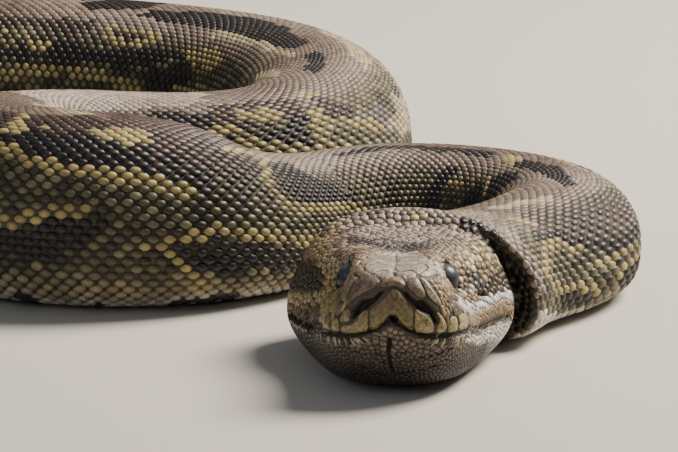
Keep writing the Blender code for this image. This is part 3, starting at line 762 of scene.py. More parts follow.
def bodyTint(s, share, halfRound, jitter):
    # colour of the body at places given by the distance along, the signed share of the way
    # round, half the way round, and a random number for each place
    s, share = np.asarray(s, float), np.asarray(share, float)
    halfRound, jitter = np.asarray(halfRound, float), np.asarray(jitter, float)
    arc, away = share * halfRound, np.abs(share)
    size = halfRound / 0.135
    cloud = softNoise(s / 0.030, arc / 0.022 + 40, 1)
    fine = softNoise(s / 0.010, arc / 0.009 + 90, 2)
    tint = mixColours(paint["back"], paint["backPale"], np.clip(cloud * 1.3 - 0.25, 0, 1))
    flank = mixColours(paint["flank"], paint["flankPale"],
                       np.clip(fine * 1.3 - 0.65 + 0.8 * jitter, 0, 1))
    pepper = (jitter * 7.3) % 1 < 0.22      # some flank scales are dark ones
    flank = mixColours(flank, paint["dark"], pepper * 0.6)
    tint = mixColours(tint, flank, softStep(0.16, 0.30, away + 0.06 * (cloud - 0.5)))
    tint = mixColours(tint, paint["straw"], 0.5 * softStep(0.60, 0.74, away))
    wobble = (softNoise(s / 0.011, arc / 0.011 + 10, 3) - 0.5) * 0.009 * size
    wobble = wobble + (jitter - 0.5) * 0.0024 * size
    rimWidth = 0.0052 * size
    for first, last, low, high, colour, rim, slope in allBlotches:
        middle, reach = (first + last) / 2, (last - first) / 2
        near = np.abs(s - middle) < reach + 0.03
        if not near.any():
            continue
        centre, half = (low + high) / 2 * halfRound, abs(high - low) / 2 * halfRound
        dx = np.abs(s - middle) - reach
        dy = np.abs(arc - centre - slope * (s - middle) * halfRound) - half
        corner = np.minimum(half, reach) * 0.6
        dx, dy = dx + corner, dy + corner
        beyond = np.hypot(np.maximum(dx, 0), np.maximum(dy, 0)) + np.minimum(np.maximum(dx, dy), 0)
        distance = beyond - corner + wobble
        inside = near & (distance < 0)
        if rim:
            onRim = near & (distance >= 0) & (distance < rimWidth) & (jitter > 0.12)
            tint[onRim] = paint[rim]
        tint[inside] = paint[colour] * (0.86 + 0.30 * fine[inside, None])
    spread = np.column_stack([s, share * 0.120]) * 1000
    shift = wobble * 550

    def paintBy(colour, line, covers):
        # paints the scales that the test takes in, along one stretch of the body
        line = np.array(line) * (1000, 120)
        near = np.abs(s * 1000 - line[:, 0].mean()) < np.ptp(line[:, 0]) / 2 + 12
        if near.any():
            inside = near.copy()
            inside[near] = covers(spread[near], line, shift[near])
            tint[inside] = paint[colour] * (0.84 + 0.34 * fine[inside, None])

    for colour, outline in areas:
        paintBy(colour, outline, lambda at, line, moved: insideBy(at, line) + moved > 0)
    for colour, width, line in streaks:
        paintBy(colour, line, lambda at, line, moved: lineDistance(at, line) + moved * 0.4 < width)
    belly = softStep(0.70, 0.77, away + 0.05 * (fine - 0.5))
    tint = mixColours(tint, paint["belly"], belly)
    speckled = (away > 0.66) & (softNoise(s / 0.012, arc / 0.010 + 70, 5) > 0.66)
    tint[speckled] = paint["speckle"]
    return tint * (0.72 + 0.48 * jitter)[:, None]


# the coat's grid: where every scale of the body is rooted
nape = {
    "long": 0.034, "rings": 14,             # from the last ring of the head to the body's start
    "headLong": 0.043, "headRings": 11,     # the back of the head, which the grid takes in too
    "fromStation": 6.0,
}
lattice = {
    "bellyFrom": 0.80,     # the broad belly plates begin at this share of the way round
    "growth": 0.80,        # rows get this much wider from the back to the belly
    # step from scale to scale along a row, in mm, at distances along the body
    "steps": [(0.0, 5.0), (0.05, 5.8), (0.16, 5.2), (0.26, 4.3), (0.65, 4.3), (0.80, 5.2),
              (1.2, 5.6), (2.0, 5.4), (2.44, 4.4), (2.70, 3.0), (2.87, 1.6)],
    "closest": 0.0023,     # on the inside of a bend every other column is dropped below this
}


class SurfaceTable:
    # the skin's outer shape, read at a distance along (below 0 on the nape and the back of the
    # head) and a share of the way round
    def __init__(self):
        angles = np.linspace(0, circle, 288, endpoint=False)
        onHead = np.arange(nape["headRings"]) / nape["headRings"]
        headAt = np.linspace(nape["fromStation"], len(headBacks) - 1, nape["headRings"] + 1)[:-1]
        napeAt = np.linspace(0, 1, nape["rings"] + 1)[:-1]
        bodyAt = np.append(np.arange(0, bodyLength, 0.0025), bodyLength)
        self.s = np.concatenate([-nape["long"] - nape["headLong"] * (1 - onHead),
                                 -nape["long"] * (1 - napeAt), bodyAt])
        rings = ([headRing(n, angles) for n in headAt] + [napeRing(u, angles) for u in napeAt]
                 + [bodyRing(s, angles) for s in bodyAt])
        insets = ([headInset] * len(headAt) + [napeInset(u) for u in napeAt]
                  + [insetAt(s) for s in bodyAt])
        self.shares = np.linspace(-1, 1, 161)
        grid, half = [], []
        for ring in ringsInset(rings, insets):
            ring = closedLoop(np.roll(ring, -(len(angles) // 4), axis=0))
            run = runAlong(ring)
            want = np.where(self.shares >= 0, self.shares / 2, 1 + self.shares / 2) * run[-1]
            grid.append(readLine(ring, run, want))
            half.append(run[-1] / 2)
        self.grid = np.array(grid) + place
        self.half = np.array(half)
        alongIt = np.gradient(self.grid, axis=0)
        normal = np.cross(alongIt, np.gradient(self.grid, axis=1))
        centre = self.grid.mean(axis=1, keepdims=True)
        flip = np.sign(((self.grid - centre) * normal).sum(axis=2).mean())
        self.normal, self.tail = unit(normal * flip), unit(alongIt)

    def read(self, values, s, share):
        i = np.clip(np.searchsorted(self.s, s) - 1, 0, len(self.s) - 2)
        u = ((s - self.s[i]) / (self.s[i + 1] - self.s[i]))[:, None]
        k = (share + 1) / 2 * (len(self.shares) - 1)
        j = np.clip(np.floor(k).astype(int), 0, len(self.shares) - 2)
        v = (k - j)[:, None]
        return ((values[i, j] * (1 - u) + values[i + 1, j] * u) * (1 - v)
                + (values[i, j + 1] * (1 - u) + values[i + 1, j + 1] * u) * v)


table = SurfaceTable()
print("form measured")


def latticePlaces(rows, start, end):
    # staggered places of the scales between two distances along the body
    edges = np.linspace(0, 1, rows + 1)
    edges = (edges + lattice["growth"] / 2 * edges ** 2) / (1 + lattice["growth"] / 2)
    centres = (edges[:-1] + edges[1:]) / 2 * lattice["bellyFrom"]
    widths = np.diff(edges) * lattice["bellyFrom"]
    step = 0.001
    s = np.arange(0, bodyLength + step, step)
    pitch = np.interp(s, *np.array(lattice["steps"]).T) / 1000
    count = np.concatenate([[0], np.cumsum(step / ((pitch[:-1] + pitch[1:]) / 2))])
    first, last = np.interp([start, end], s, count)
    n, row = np.meshgrid(np.arange(math.ceil(first) - 1, int(last) + 2), np.arange(-rows, rows))
    n, row = n.ravel(), row.ravel()
    k = np.where(row >= 0, row, -row - 1)
    column = n + 0.5 * (row % 2)
    at = np.interp(column, count, s)
    keep = (at >= start) & (at < end) & (column > 0)
    n, row, k, at = (v[keep] for v in (n, row, k, at))
    return at, np.sign(row + 0.5) * centres[k], widths[k], n, row, np.interp(at, s, pitch)


# overlapping lozenges on the back, closer beads on the flank: the first number of a pair is
# for the back and the second is how much less it is on the flank
scaleSizes = {
    "long": (1.16, 0.20), "broad": (1.66, 0.10),    # against the steps of the grid
    "longest": (3.3, 0.9), "broadest": 1.1,     # against the width of the row, and the length
    "smaller": 0.05, "smallerAtRandom": 0.10, "askew": 0.24,    # and beads alone are turned askew
    "height": 0.00078, "rowWidth": 0.0027,      # the height in a row of this width
    "onNape": {"longer": 0.10, "broader": 0.12, "flatter": 0.42},
}


def bodyScales(rows, start, end):
    s, share, width, n, row, pitch = latticePlaces(rows, start, end)
    here, ahead = (table.read(table.grid, s + move, share) for move in (-0.001, 0.001))
    pitch = pitch * np.clip(np.linalg.norm(ahead - here, axis=1) / 0.002, 0.2, 2)
    crowded = pitch < lattice["closest"]
    keep = ~(crowded & (n % 2 == 1))
    pitch = np.where(crowded, pitch * 2, pitch)
    s, share, width, n, row, pitch = (v[keep] for v in (s, share, width, n, row, pitch))
    half = np.interp(s, table.s, table.half)
    wide, away = width * half, np.abs(share)
    beads = softStep(0.10, 0.34, away)

    def sized(name):
        return scaleSizes[name][0] - scaleSizes[name][1] * beads

    length = pitch * sized("long") * (0.94 + 0.12 * dice(n, row, 12))
    length = np.minimum(length, wide * sized("longest"))
    breadth = wide * sized("broad") * (0.94 + 0.12 * dice(n, row, 13))
    breadth = np.minimum(breadth, length * scaleSizes["broadest"])
    shrunk = scaleSizes["smaller"] + scaleSizes["smallerAtRandom"] * dice(n, row, 15)
    shrunk = 1 - beads * shrunk
    height = scaleSizes["height"] * np.clip(wide / scaleSizes["rowWidth"], 0.25, 1.15)
    height = height * (0.85 + 0.20 * beads) * (0.88 + 0.24 * dice(n, row, 16))
    napeForm, onNape = scaleSizes["onNape"], softStep(0.040, 0.015, s) * softStep(0.36, 0.22, away)
    length = length * shrunk * (1 + napeForm["longer"] * onNape)
    breadth = breadth * shrunk * (1 + napeForm["broader"] * onNape)
    height = height * (1 - napeForm["flatter"] * onNape)
    normal, tail = table.read(table.normal, s, share), table.read(table.tail, s, share)
    askew = (dice(n, row, 17) - 0.5) * scaleSizes["askew"] * beads
    return {
        "s": s, "share": share,
        "position": table.read(table.grid, s, share),
        "lieNormal": normal,
        "lieTail": tail + np.cross(normal, tail) * askew[:, None],
        "lieSize": np.column_stack([length, breadth, height]),
        "tint": bodyTint(s, share, half, dice(n, row, 11)),
        "kind": (dice(n, row, 14) > 0.5).astype(int) + np.where(away < 0.20, 0, 2),
    }


def setUv(mesh, name, values):
    # a UV map with one place for each point of the mesh
    layer = mesh.uv_layers.new(name=name)
    corner = np.empty(len(mesh.loops), int)
    mesh.loops.foreach_get("vertex_index", corner)
    layer.data.foreach_set("uv", values[corner].astype(np.float32).ravel())


# scale shapes, one long and one wide at size 1, tail end along +X
def scaleShape(name, pointed, steep, rimRise, sides=8):
    angles = np.linspace(0, circle, sides, endpoint=False) + math.pi / sides
    across, along = np.sin(angles) * 0.5, np.cos(angles) * 0.5
    along = along * (1 + pointed * 0.16 * (1 - np.abs(across) * 2) * np.sign(along))
    across = across * (1 - pointed * 0.30 * np.abs(along) * 1.6)
    rim = np.column_stack([along, across, -0.55 + rimRise * (along + 0.5)])
    brow = np.column_stack([along * steep + 0.015, across * steep, 0.85 + 0.40 * rimRise * along])
    points = np.vstack([rim, brow, [[0.03, 0, 1.0]]]) * (1, -1, 1)
    faces = []
    for i in range(sides):
        k = (i + 1) % sides
        faces += [(i, k, sides + k, sides + i), (sides + i, sides + k, 2 * sides)]
    mesh = meshFrom(name, points, faces)
    setUv(mesh, "patch", points[:, :2] * 0.0030)    # its small patch of the bake map
    # how far up the dome each point stands; the scale material paints shade at the rim from it
    setAttribute(mesh, "dome", "FLOAT",
                 np.concatenate([np.zeros(sides), np.full(sides, 0.72), [1.0]]))
    return newObject(name, mesh)


scaleShapes = [
    scaleShape("lozengeA", 1.0, 0.74, 0.90), scaleShape("lozengeB", 0.8, 0.77, 0.75),
    scaleShape("beadA", 0.55, 0.76, 0.40), scaleShape("beadB", 0.35, 0.73, 0.25),
]
scatterInputs = {"Scale size": 1.0, "Lift mm": 0.0}
rootData = {"lieNormal": "FLOAT_VECTOR", "lieTail": "FLOAT_VECTOR", "lieSize": "FLOAT_VECTOR",
            "rootUv": "FLOAT_VECTOR", "kind": "INT"}


def scatterTree(shapes, material):
    # places one of the shapes at every point, turned to its normal and its tailward direction
    tree = bpy.data.node_groups.new("scatterScales", "GeometryNodeTree")
    face = tree.interface
    face.new_socket("Geometry", in_out="INPUT", socket_type="NodeSocketGeometry")
    keys = {name: face.new_socket(name, in_out="INPUT", socket_type="NodeSocketFloat").identifier
            for name in scatterInputs}
    face.new_socket("Geometry", in_out="OUTPUT", socket_type="NodeSocketGeometry")
    start = addNode(tree, "NodeGroupInput")
    stored = {name: addNode(tree, "GeometryNodeInputNamedAttribute", {"data_type": kind},
                            {"Name": name})
              for name, kind in {**rootData, "patch": "FLOAT_VECTOR"}.items()}
    turn = addNode(tree, "FunctionNodeAxesToRotation", {"primary_axis": "Z", "secondary_axis": "X"},
                   {0: stored["lieNormal"], 1: stored["lieTail"]})
    raised = addNode(tree, "ShaderNodeMath", {"operation": "MULTIPLY"},
                     {0: start.outputs["Lift mm"], 1: 0.001})
    offset = addNode(tree, "ShaderNodeVectorMath", {"operation": "SCALE"},
                     {0: stored["lieNormal"], "Scale": raised})
    moved = addNode(tree, "GeometryNodeSetPosition", None, {"Geometry": start, "Offset": offset})
    size = addNode(tree, "ShaderNodeVectorMath", {"operation": "SCALE"},
                   {0: stored["lieSize"], "Scale": start.outputs["Scale size"]})
    join = addNode(tree, "GeometryNodeJoinGeometry")
    for number, shape in enumerate(shapes):
        chosen = addNode(tree, "FunctionNodeCompare", {"data_type": "INT", "operation": "EQUAL"},
                         {2: stored["kind"], 3: number})
        source = addNode(tree, "GeometryNodeObjectInfo", {"transform_space": "ORIGINAL"},
                         {"Object": shape})
        spread = addNode(tree, "GeometryNodeInstanceOnPoints", None, {
            "Points": moved, "Selection": chosen, "Instance": source.outputs["Geometry"],
            "Rotation": turn, "Scale": size})
        tree.links.new(spread.outputs["Instances"], join.inputs["Geometry"])
    solid = addNode(tree, "GeometryNodeRealizeInstances", None, {"Geometry": join})
    patch = addNode(tree, "ShaderNodeVectorMath", {"operation": "ADD"},
                    {0: stored["rootUv"], 1: stored["patch"]})
    mapped = addNode(tree, "GeometryNodeStoreNamedAttribute",
                     {"data_type": "FLOAT2", "domain": "CORNER"},
                     {"Geometry": solid, "Name": "OFBake", "Value": patch})
    dressed = addNode(tree, "GeometryNodeSetMaterial", None,
                      {"Geometry": mapped, "Material": material})
    addNode(tree, "NodeGroupOutput", None, {"Geometry": dressed})
    return tree, keys


def scatter(name, scales, tree, keys):
    # a finished coat piece: real mesh, one material
    mesh = bpy.data.meshes.new(name)
    mesh.vertices.add(len(scales["position"]))
    mesh.vertices.foreach_set("co", np.asarray(scales["position"], np.float32).ravel())
    for key, kind in {**rootData, "tint": "FLOAT_COLOR"}.items():
        setAttribute(mesh, key, kind, scales[key])
    roots = newObject(name + "Places", mesh)
    modifier = roots.modifiers.new("scatter", "NODES")
    modifier.node_group = tree
    for key, value in scatterInputs.items():
        modifier[keys[key]] = value
    bpy.context.view_layer.update()
    graph = bpy.context.evaluated_depsgraph_get()
    final = bpy.data.meshes.new_from_object(roots.evaluated_get(graph))
    final.name = name
    for gone in (*rootData, "patch"):
        if gone in final.attributes:
            final.attributes.remove(final.attributes[gone])
    layer = final.uv_layers["OFBake"]
    final.uv_layers.active = layer
    layer.active_render = True
    bpy.data.objects.remove(roots)
    bpy.data.meshes.remove(mesh)
    final.shade_smooth()
    print(f"{name}: {len(scales['position'])} scales")
    return newObject(name, final)


# materials
def newMaterial(name):
    made = bpy.data.materials.new(name)
    made.use_nodes = True
    tree = made.node_tree
    return made, tree, next(n for n in tree.nodes if n.type == "BSDF_PRINCIPLED")


def intoSurface(tree, surface, colour, rough, relief):
    for key, node in (("Base Color", colour), ("Roughness", rough), ("Normal", relief)):
        tree.links.new(node.outputs[0], surface.inputs[key])


def scaleMaterial(name, gloss, grain, stain, wrinkleMm):
    # the tint of each scale, with painted shade that darkens it towards its rim and a little painted
    # light on its dome, with flecks, a fine grain and uneven polish: light breaks up on it as on dry
    # horn, never in one clean spot
    made, tree, surface = newMaterial(name)
    tint = addNode(tree, "ShaderNodeAttribute", {"attribute_name": "tint"})
    dome = addNode(tree, "ShaderNodeAttribute", {"attribute_name": "dome"})
    where = addNode(tree, "ShaderNodeTexCoord").outputs["Object"]
    fleck = addNode(tree, "ShaderNodeTexNoise", None,
                    {"Vector": where, "Scale": grain * 0.35, "Detail": 3.0})
    shade = addNode(tree, "ShaderNodeMapRange", None,
                    {"Value": fleck, "From Min": 0.3, "From Max": 0.7,
                     "To Min": 1 - stain, "To Max": 1 + 0.75 * stain})
    # painted shade: each scale darker at its rim and a little lighter on its dome
    paintedDomeShading = addNode(tree, "ShaderNodeMapRange", None,
                   {"Value": dome.outputs["Fac"], "To Min": 0.38, "To Max": 1.08})
    both = addNode(tree, "ShaderNodeMath", {"operation": "MULTIPLY"}, {0: shade, 1: paintedDomeShading})
    colour = addNode(tree, "ShaderNodeVectorMath", {"operation": "SCALE"},
                     {0: tint, "Scale": both})
    polish = addNode(tree, "ShaderNodeTexNoise", None,
                     {"Vector": where, "Scale": 160.0, "Detail": 2.0})
    rough = addNode(tree, "ShaderNodeMapRange", None,
                    {"Value": polish, "From Min": 0.3, "From Max": 0.7,
                     "To Min": gloss - 0.06, "To Max": gloss + 0.12})
    fine = addNode(tree, "ShaderNodeTexNoise", None,
                   {"Vector": where, "Scale": float(grain), "Detail": 2.0})
    bump = addNode(tree, "ShaderNodeBump", None,
                   {"Strength": 0.35, "Distance": 0.0001, "Height": fine})
    crease = addNode(tree, "ShaderNodeTexNoise", None,
                     {"Vector": where, "Scale": grain * 0.22, "Detail": 4.0, "Distortion": 1.2})
    wrinkle = addNode(tree, "ShaderNodeBump", None,
                      {"Strength": 0.8, "Distance": wrinkleMm / 1000, "Height": crease,
                       "Normal": bump})
    intoSurface(tree, surface, colour, rough, wrinkle)
    surface.inputs["Specular IOR Level"].default_value = 0.5
    return made


# keratin of the back and the flanks: opaque, with a soft satin sheen on each dome
bodyScaleMaterial = scaleMaterial("pythonScaleKeratin", 0.44, 2600, 0.24, 0.12)
# the broad scutes of the belly, polished by the ground: smoother, with a sharper highlight
bellyMaterial = scaleMaterial("pythonVentralScute", 0.34, 2200, 0.14, 0.08)
# shields and granules of the head: a drier satin, stained and wrinkled so that it looks old
headScaleMaterial = scaleMaterial("pythonHeadShieldKeratin", 0.38, 2600, 0.50, 0.32)


def skinMaterial():
    # the soft skin between the scales: matt and finely creased, so it reads as a dark gap
    made, tree, surface = newMaterial("pythonInterstitialSkin")
    tint = addNode(tree, "ShaderNodeAttribute", {"attribute_name": "tint"})
    where = addNode(tree, "ShaderNodeTexCoord").outputs["Object"]
    crease = addNode(tree, "ShaderNodeTexVoronoi", {"feature": "DISTANCE_TO_EDGE"},
                     {"Vector": where, "Scale": 900.0}).outputs["Distance"]
    # painted shade: the skin's colour darkens in its fine creases
    shade = addNode(tree, "ShaderNodeMapRange", None,
                    {"Value": crease, "From Max": 0.25, "To Min": 0.70, "To Max": 1.10})
    colour = addNode(tree, "ShaderNodeVectorMath", {"operation": "SCALE"},
                     {0: tint, "Scale": shade})
    rough = addNode(tree, "ShaderNodeMapRange", None,
                    {"Value": crease, "From Max": 0.3, "To Min": 0.72, "To Max": 0.55})
    bump = addNode(tree, "ShaderNodeBump", None,
                   {"Strength": 0.5, "Distance": 0.0002, "Height": crease})
    intoSurface(tree, surface, colour, rough, bump)
    return made


# the skin mesh
def buildSkin():
    rings, insets, alongs = skinRings()
    points, faces, starts = joinRings(ringsInset(rings, insets))
    points = points + place
    count, firstOnBody = len(points), len(rings) - len(alongs)
    mesh = meshFrom("skin", points, faces)
    normals = np.empty(count * 3)
    mesh.vertices.foreach_get("normal", normals)
    normals = normals.reshape(-1, 3)
    onHead = np.arange(count) < starts[firstOnBody]
    onHead[-2] = True       # the tip of the snout
    local = toHead(points[onHead]) * 1000
    frontal = softStep(-0.10, 0.05, -(normals[onHead] @ faceAxis))
    deep, dark = headDents(local, frontal)
    points[onHead] -= normals[onHead] * deep[:, None] / 1000
    mesh.vertices.foreach_set("co", points.ravel())
    mesh.update()
    s, share = np.full(count, -0.02), np.zeros(count)
    for i, ring in enumerate(rings):
        own = slice(starts[i], starts[i + 1])
        angle = np.linspace(0, circle, len(ring), endpoint=False)
        share[own] = np.mod((angle - math.pi / 2) / math.pi + 1, 2) - 1
        s[own] = alongs[i - firstOnBody] if i >= firstOnBody else -nape["long"]
    between = paint["betweenScales"]
    tint = bodyTint(s, share, np.interp(s, table.s, table.half), np.full(count, 0.5))
    tint = between * 0.75 + tint * 0.20
    onSkin = headTint(local, frontal, np.full(len(local), 0.5)) * 0.22 + between * 0.5
    # painted shade: near black skin in the lip line, the pits, the grooves and round the eyes
    tint[onHead] = mixColours(onSkin, headPaint["pit"], dark)
    setAttribute(mesh, "tint", "FLOAT_COLOR", tint)
    mesh.materials.append(skinMaterial())
    # the coat of the head also stands on the first three rings of the body
    return newObject("skin", mesh), faces, starts[firstOnBody + 3]


skinObject, skinFaces, headPointCount = buildSkin()
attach(skinObject, "root")
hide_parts(*fleshNodes)
print("skin built")


# the coat of the head
def tailwards(normals):
    # direction of the lie: backwards along the surface, or up it where it faces the front
    back = headPlace(0.0, 1.0, 0.0)[0] - place
    lie = back - normals * (normals @ back)[:, None]
    up = np.array([0, 0, 1.0]) - normals * normals[:, 2:3]
    return np.where(np.linalg.norm(lie, axis=1, keepdims=True) > 0.25, unit(lie), unit(up))


rayLength = 0.3     # rays to the face start this far before it


class HeadSurface:
    # the dented skin of the head, to set shields and granules on
    def __init__(self, mesh, faces, count):
        points = np.empty(len(mesh.vertices) * 3)
        mesh.vertices.foreach_get("co", points)
        self.points = points.reshape(-1, 3)[:count]
        self.faces = [f for f in faces if max(f) < count]
        self.tree = BVHTree.FromPolygons([Vector(p) for p in self.points], self.faces)

    def nearest(self, points):
        found = [self.tree.find_nearest(Vector(p)) for p in points]
        return np.array([f[0][:] for f in found]), np.array([f[1][:] for f in found])

    def directions(self, points):
        # outwards, tailwards and sideways at places on the head
        normals = self.nearest(points)[1]
        lies = tailwards(normals)
        return normals, lies, np.cross(normals, lies)

    def cast(self, starts, ray):
        # where rays meet the head: one that passes it takes the nearest place instead
        found = []
        for start in starts:
            hit = self.tree.ray_cast(Vector(start), Vector(ray))
            if hit[0] is None:
                hit = self.tree.find_nearest(Vector(start + ray * (rayLength + 0.01)))
            found.append(hit)
        return np.array([f[0][:] for f in found]), np.array([f[1][:] for f in found])

    def fromFront(self, flat):
        # places on the face for (side, up the slanted view) in mm
        side, up = np.asarray(flat).T / 1000
        starts = headPlace(side, up * math.sin(slant), up * math.cos(slant))
        return self.cast(starts - faceAxis * rayLength, faceAxis)

    def fromAbove(self, flat):
        # places on top of the head for (side, back) in mm
        side, back = np.asarray(flat).T / 1000
        return self.cast(headPlace(side, back, np.full(len(side), 0.09)), np.array([0, 0, -1.0]))


def evenSteps(loop, count):
    # the same closed loop in a number of even steps
    loop = closedLoop(loop)
    run = runAlong(loop)
    return readLine(loop, run, np.linspace(0, run[-1], count, endpoint=False))


def roundLoop(outline, count):
    # smooth closed curve through the outline's points
    outline = np.asarray(outline, float)
    n = len(outline)
    t = np.linspace(0, n, n * 12, endpoint=False)
    i, u = np.floor(t).astype(int), (t % 1)[:, None]
    a, b, c, d = (outline[(i + k) % n] for k in (-1, 0, 1, 2))
    curve = 0.5 * (2 * b + (c - a) * u + (2 * a - 5 * b + 4 * c - d) * u ** 2
                   + (3 * b - a - 3 * c + d) * u ** 3)
    return evenSteps(curve, count)


shields = {  # outline, middle, thickness mm, upper and lower colour, dark spots (side, up, mm)
    "cap": ([(-5.6, 45.7), (-5.1, 47.1), (-3.2, 48.7), (-0.7, 49.4), (1.8, 48.8), (3.7, 47.5),
     (4.2, 45.8), (2.7, 45.1), (0.7, 45.6), (-0.5, 45.9), (-2.1, 45.5), (-4, 45.2)], (-0.6, 47.2), 1.5,
     "#a38c72", "#6b5743"),
    "rostral": ([(-0.4, 45.4), (-3, 42.4), (-6.5, 39.2), (-9.5, 36.4), (-9.6, 32.8), (-9.4, 29.1),
     (-8.1, 28.9), (-6.5, 29.6), (-4.4, 31.6), (-3.4, 33.3), (-2, 34.6), (-0.4, 35), (1.2, 34.2),
     (2.3, 32.1), (4.7, 29.9), (7, 28.8), (7.2, 33), (7.2, 36.6), (4, 40.9), (2, 43.4),
     (0.4, 45.3)], (-0.9, 40.2), 1, "#735f45", "#756a42", (-0.6, 37.6, 0.75), (0.9, 37.3, 0.4),
     (-4.6, 33.4, 0.35), (5.6, 32.2, 0.3)),
    "labialLeft1": ([(-10.2, 36.7), (-12.2, 35.9), (-14.3, 33.9), (-15.6, 32), (-17.7, 31),
     (-20.2, 30.5), (-20.7, 28.2), (-18.1, 27.6), (-15.5, 27.6), (-12.6, 28.1), (-10.2, 29)],
     (-14, 30.8), 1, "#86784e", "#8f8158", (-12, 31.9, 0.5), (-13.9, 33.2, 0.45),
     (-18.6, 30, 0.6), (-19.9, 30.8, 0.5), (-16.2, 31.4, 0.5)),
    "labialRight1": ([(7.9, 36.7), (9.7, 36.2), (12.5, 34.5), (14.4, 32.3), (15.1, 30.1), (14.7, 28.6),
     (12.9, 27.9), (10.4, 28.1), (7.9, 28.8)], (11, 31.8), 1, "#8d7d54", "#94875c", (11.7, 31.8, 0.6),
     (12.4, 33, 0.5), (10.9, 30.2, 0.4), (13.6, 31.8, 0.35), (10.3, 33.4, 0.3)),
    "labialRight2": ([(15.9, 36), (17.6, 34.9), (19.2, 32.3), (19.7, 29.4), (18.3, 28.3), (16.2, 28.3),
     (16.4, 31), (17.2, 33)], (17.9, 31.4), 1.1, "#98895c", "#8c7d55", (17.4, 30.2, 0.4)),
    "labialLeft2": ([(-17, 36.6), (-18.9, 36.4), (-20.4, 34.6), (-20.9, 32), (-18.6, 31.6),
     (-17, 32.8)], (-18.8, 34.2), 1.1, "#857a4e", "#7a6e4a"),
    "labialLeft3": ([(-21.3, 28.3), (-22.6, 28), (-24, 28.2), (-24.3, 30.6), (-23.9, 33.4),
     (-22.4, 33.6), (-21.5, 32)], (-22.8, 30.8), 0.9, "#807448", "#877a50"),
    "labialLeft4": ([(-24.8, 28.3), (-26.2, 28.4), (-27.4, 28.9), (-27.6, 31.4), (-27, 34.2),
     (-25.6, 34.6), (-24.8, 33.4), (-25.1, 30.8)], (-26.2, 31.2), 0.9, "#776b45", "#7d714a"),
    "labialRight3": ([(20.4, 28.5), (22, 28.3), (23.4, 28.8), (23.9, 31), (23.3, 34), (21.6, 34.2),
     (20.5, 31.8)], (22, 31.2), 0.9, "#94865b", "#8c7f57"),
    "labialRight4": ([(24.1, 29), (25.8, 29), (27.2, 29.8), (27.5, 32.4), (26.6, 35.4), (24.8, 35),
     (24.1, 33.8), (24.6, 31.2)], (25.8, 32), 0.9, "#9a8c64", "#8a7c56"),
    "nasalLeft": ([(-5.3, 47.5), (-6.2, 49.2), (-8, 49.9), (-12, 49.3), (-14.9, 47.6), (-16.4, 45.4),
     (-17.8, 42.4), (-18.9, 39.8), (-18.4, 38), (-16.9, 39.4), (-13.5, 42.2), (-9.6, 44.2),
     (-6.4, 46.2)], (-10.8, 46.4), 1.15, "#75635a", "#675b42"),
    "nasalRight": ([(4.6, 47.6), (5.6, 49), (7.4, 49.5), (9.2, 48.2), (10.8, 45.4), (11.8, 43),
     (11.2, 41.7), (8.8, 41.9), (6.7, 43.9), (4.6, 45.8)], (8, 45.2), 1.2, "#87736a", "#766a49"),
    "lorealRight": ([(9.6, 49.2), (12, 47.6), (14.6, 44.2), (17.2, 40.4), (17.6, 38.2), (16, 39.2),
     (13.6, 41.4), (12.4, 43.2), (11.1, 45.8)], (13.2, 44.4), 1.3, "#bfb3a8", "#a39576"),
    "underLeft": ([(-7.6, 49.4), (-5.1, 49.1), (-2, 49.4), (-3.4, 48.6), (-5.6, 47.3), (-6.3, 47.9)],
     (-5, 48.5), 0.9, "#7b6757", "#6d5a4c"),
    "underRight": ([(0.8, 49.7), (3.6, 49.4), (4.5, 48.8), (4.2, 47.8), (2.4, 48.9)], (3, 48.9), 0.9,
     "#7f6a5a", "#6f5c4d"),
    "besideLeft": ([(-15.4, 47.9), (-17.4, 46.6), (-19.6, 44), (-20.8, 40.6), (-18.9, 39.8),
     (-17.9, 42.8), (-16.7, 45.6)], (-18.4, 43.8), 0.8, "#8f7d66", "#7a6a48"),
}
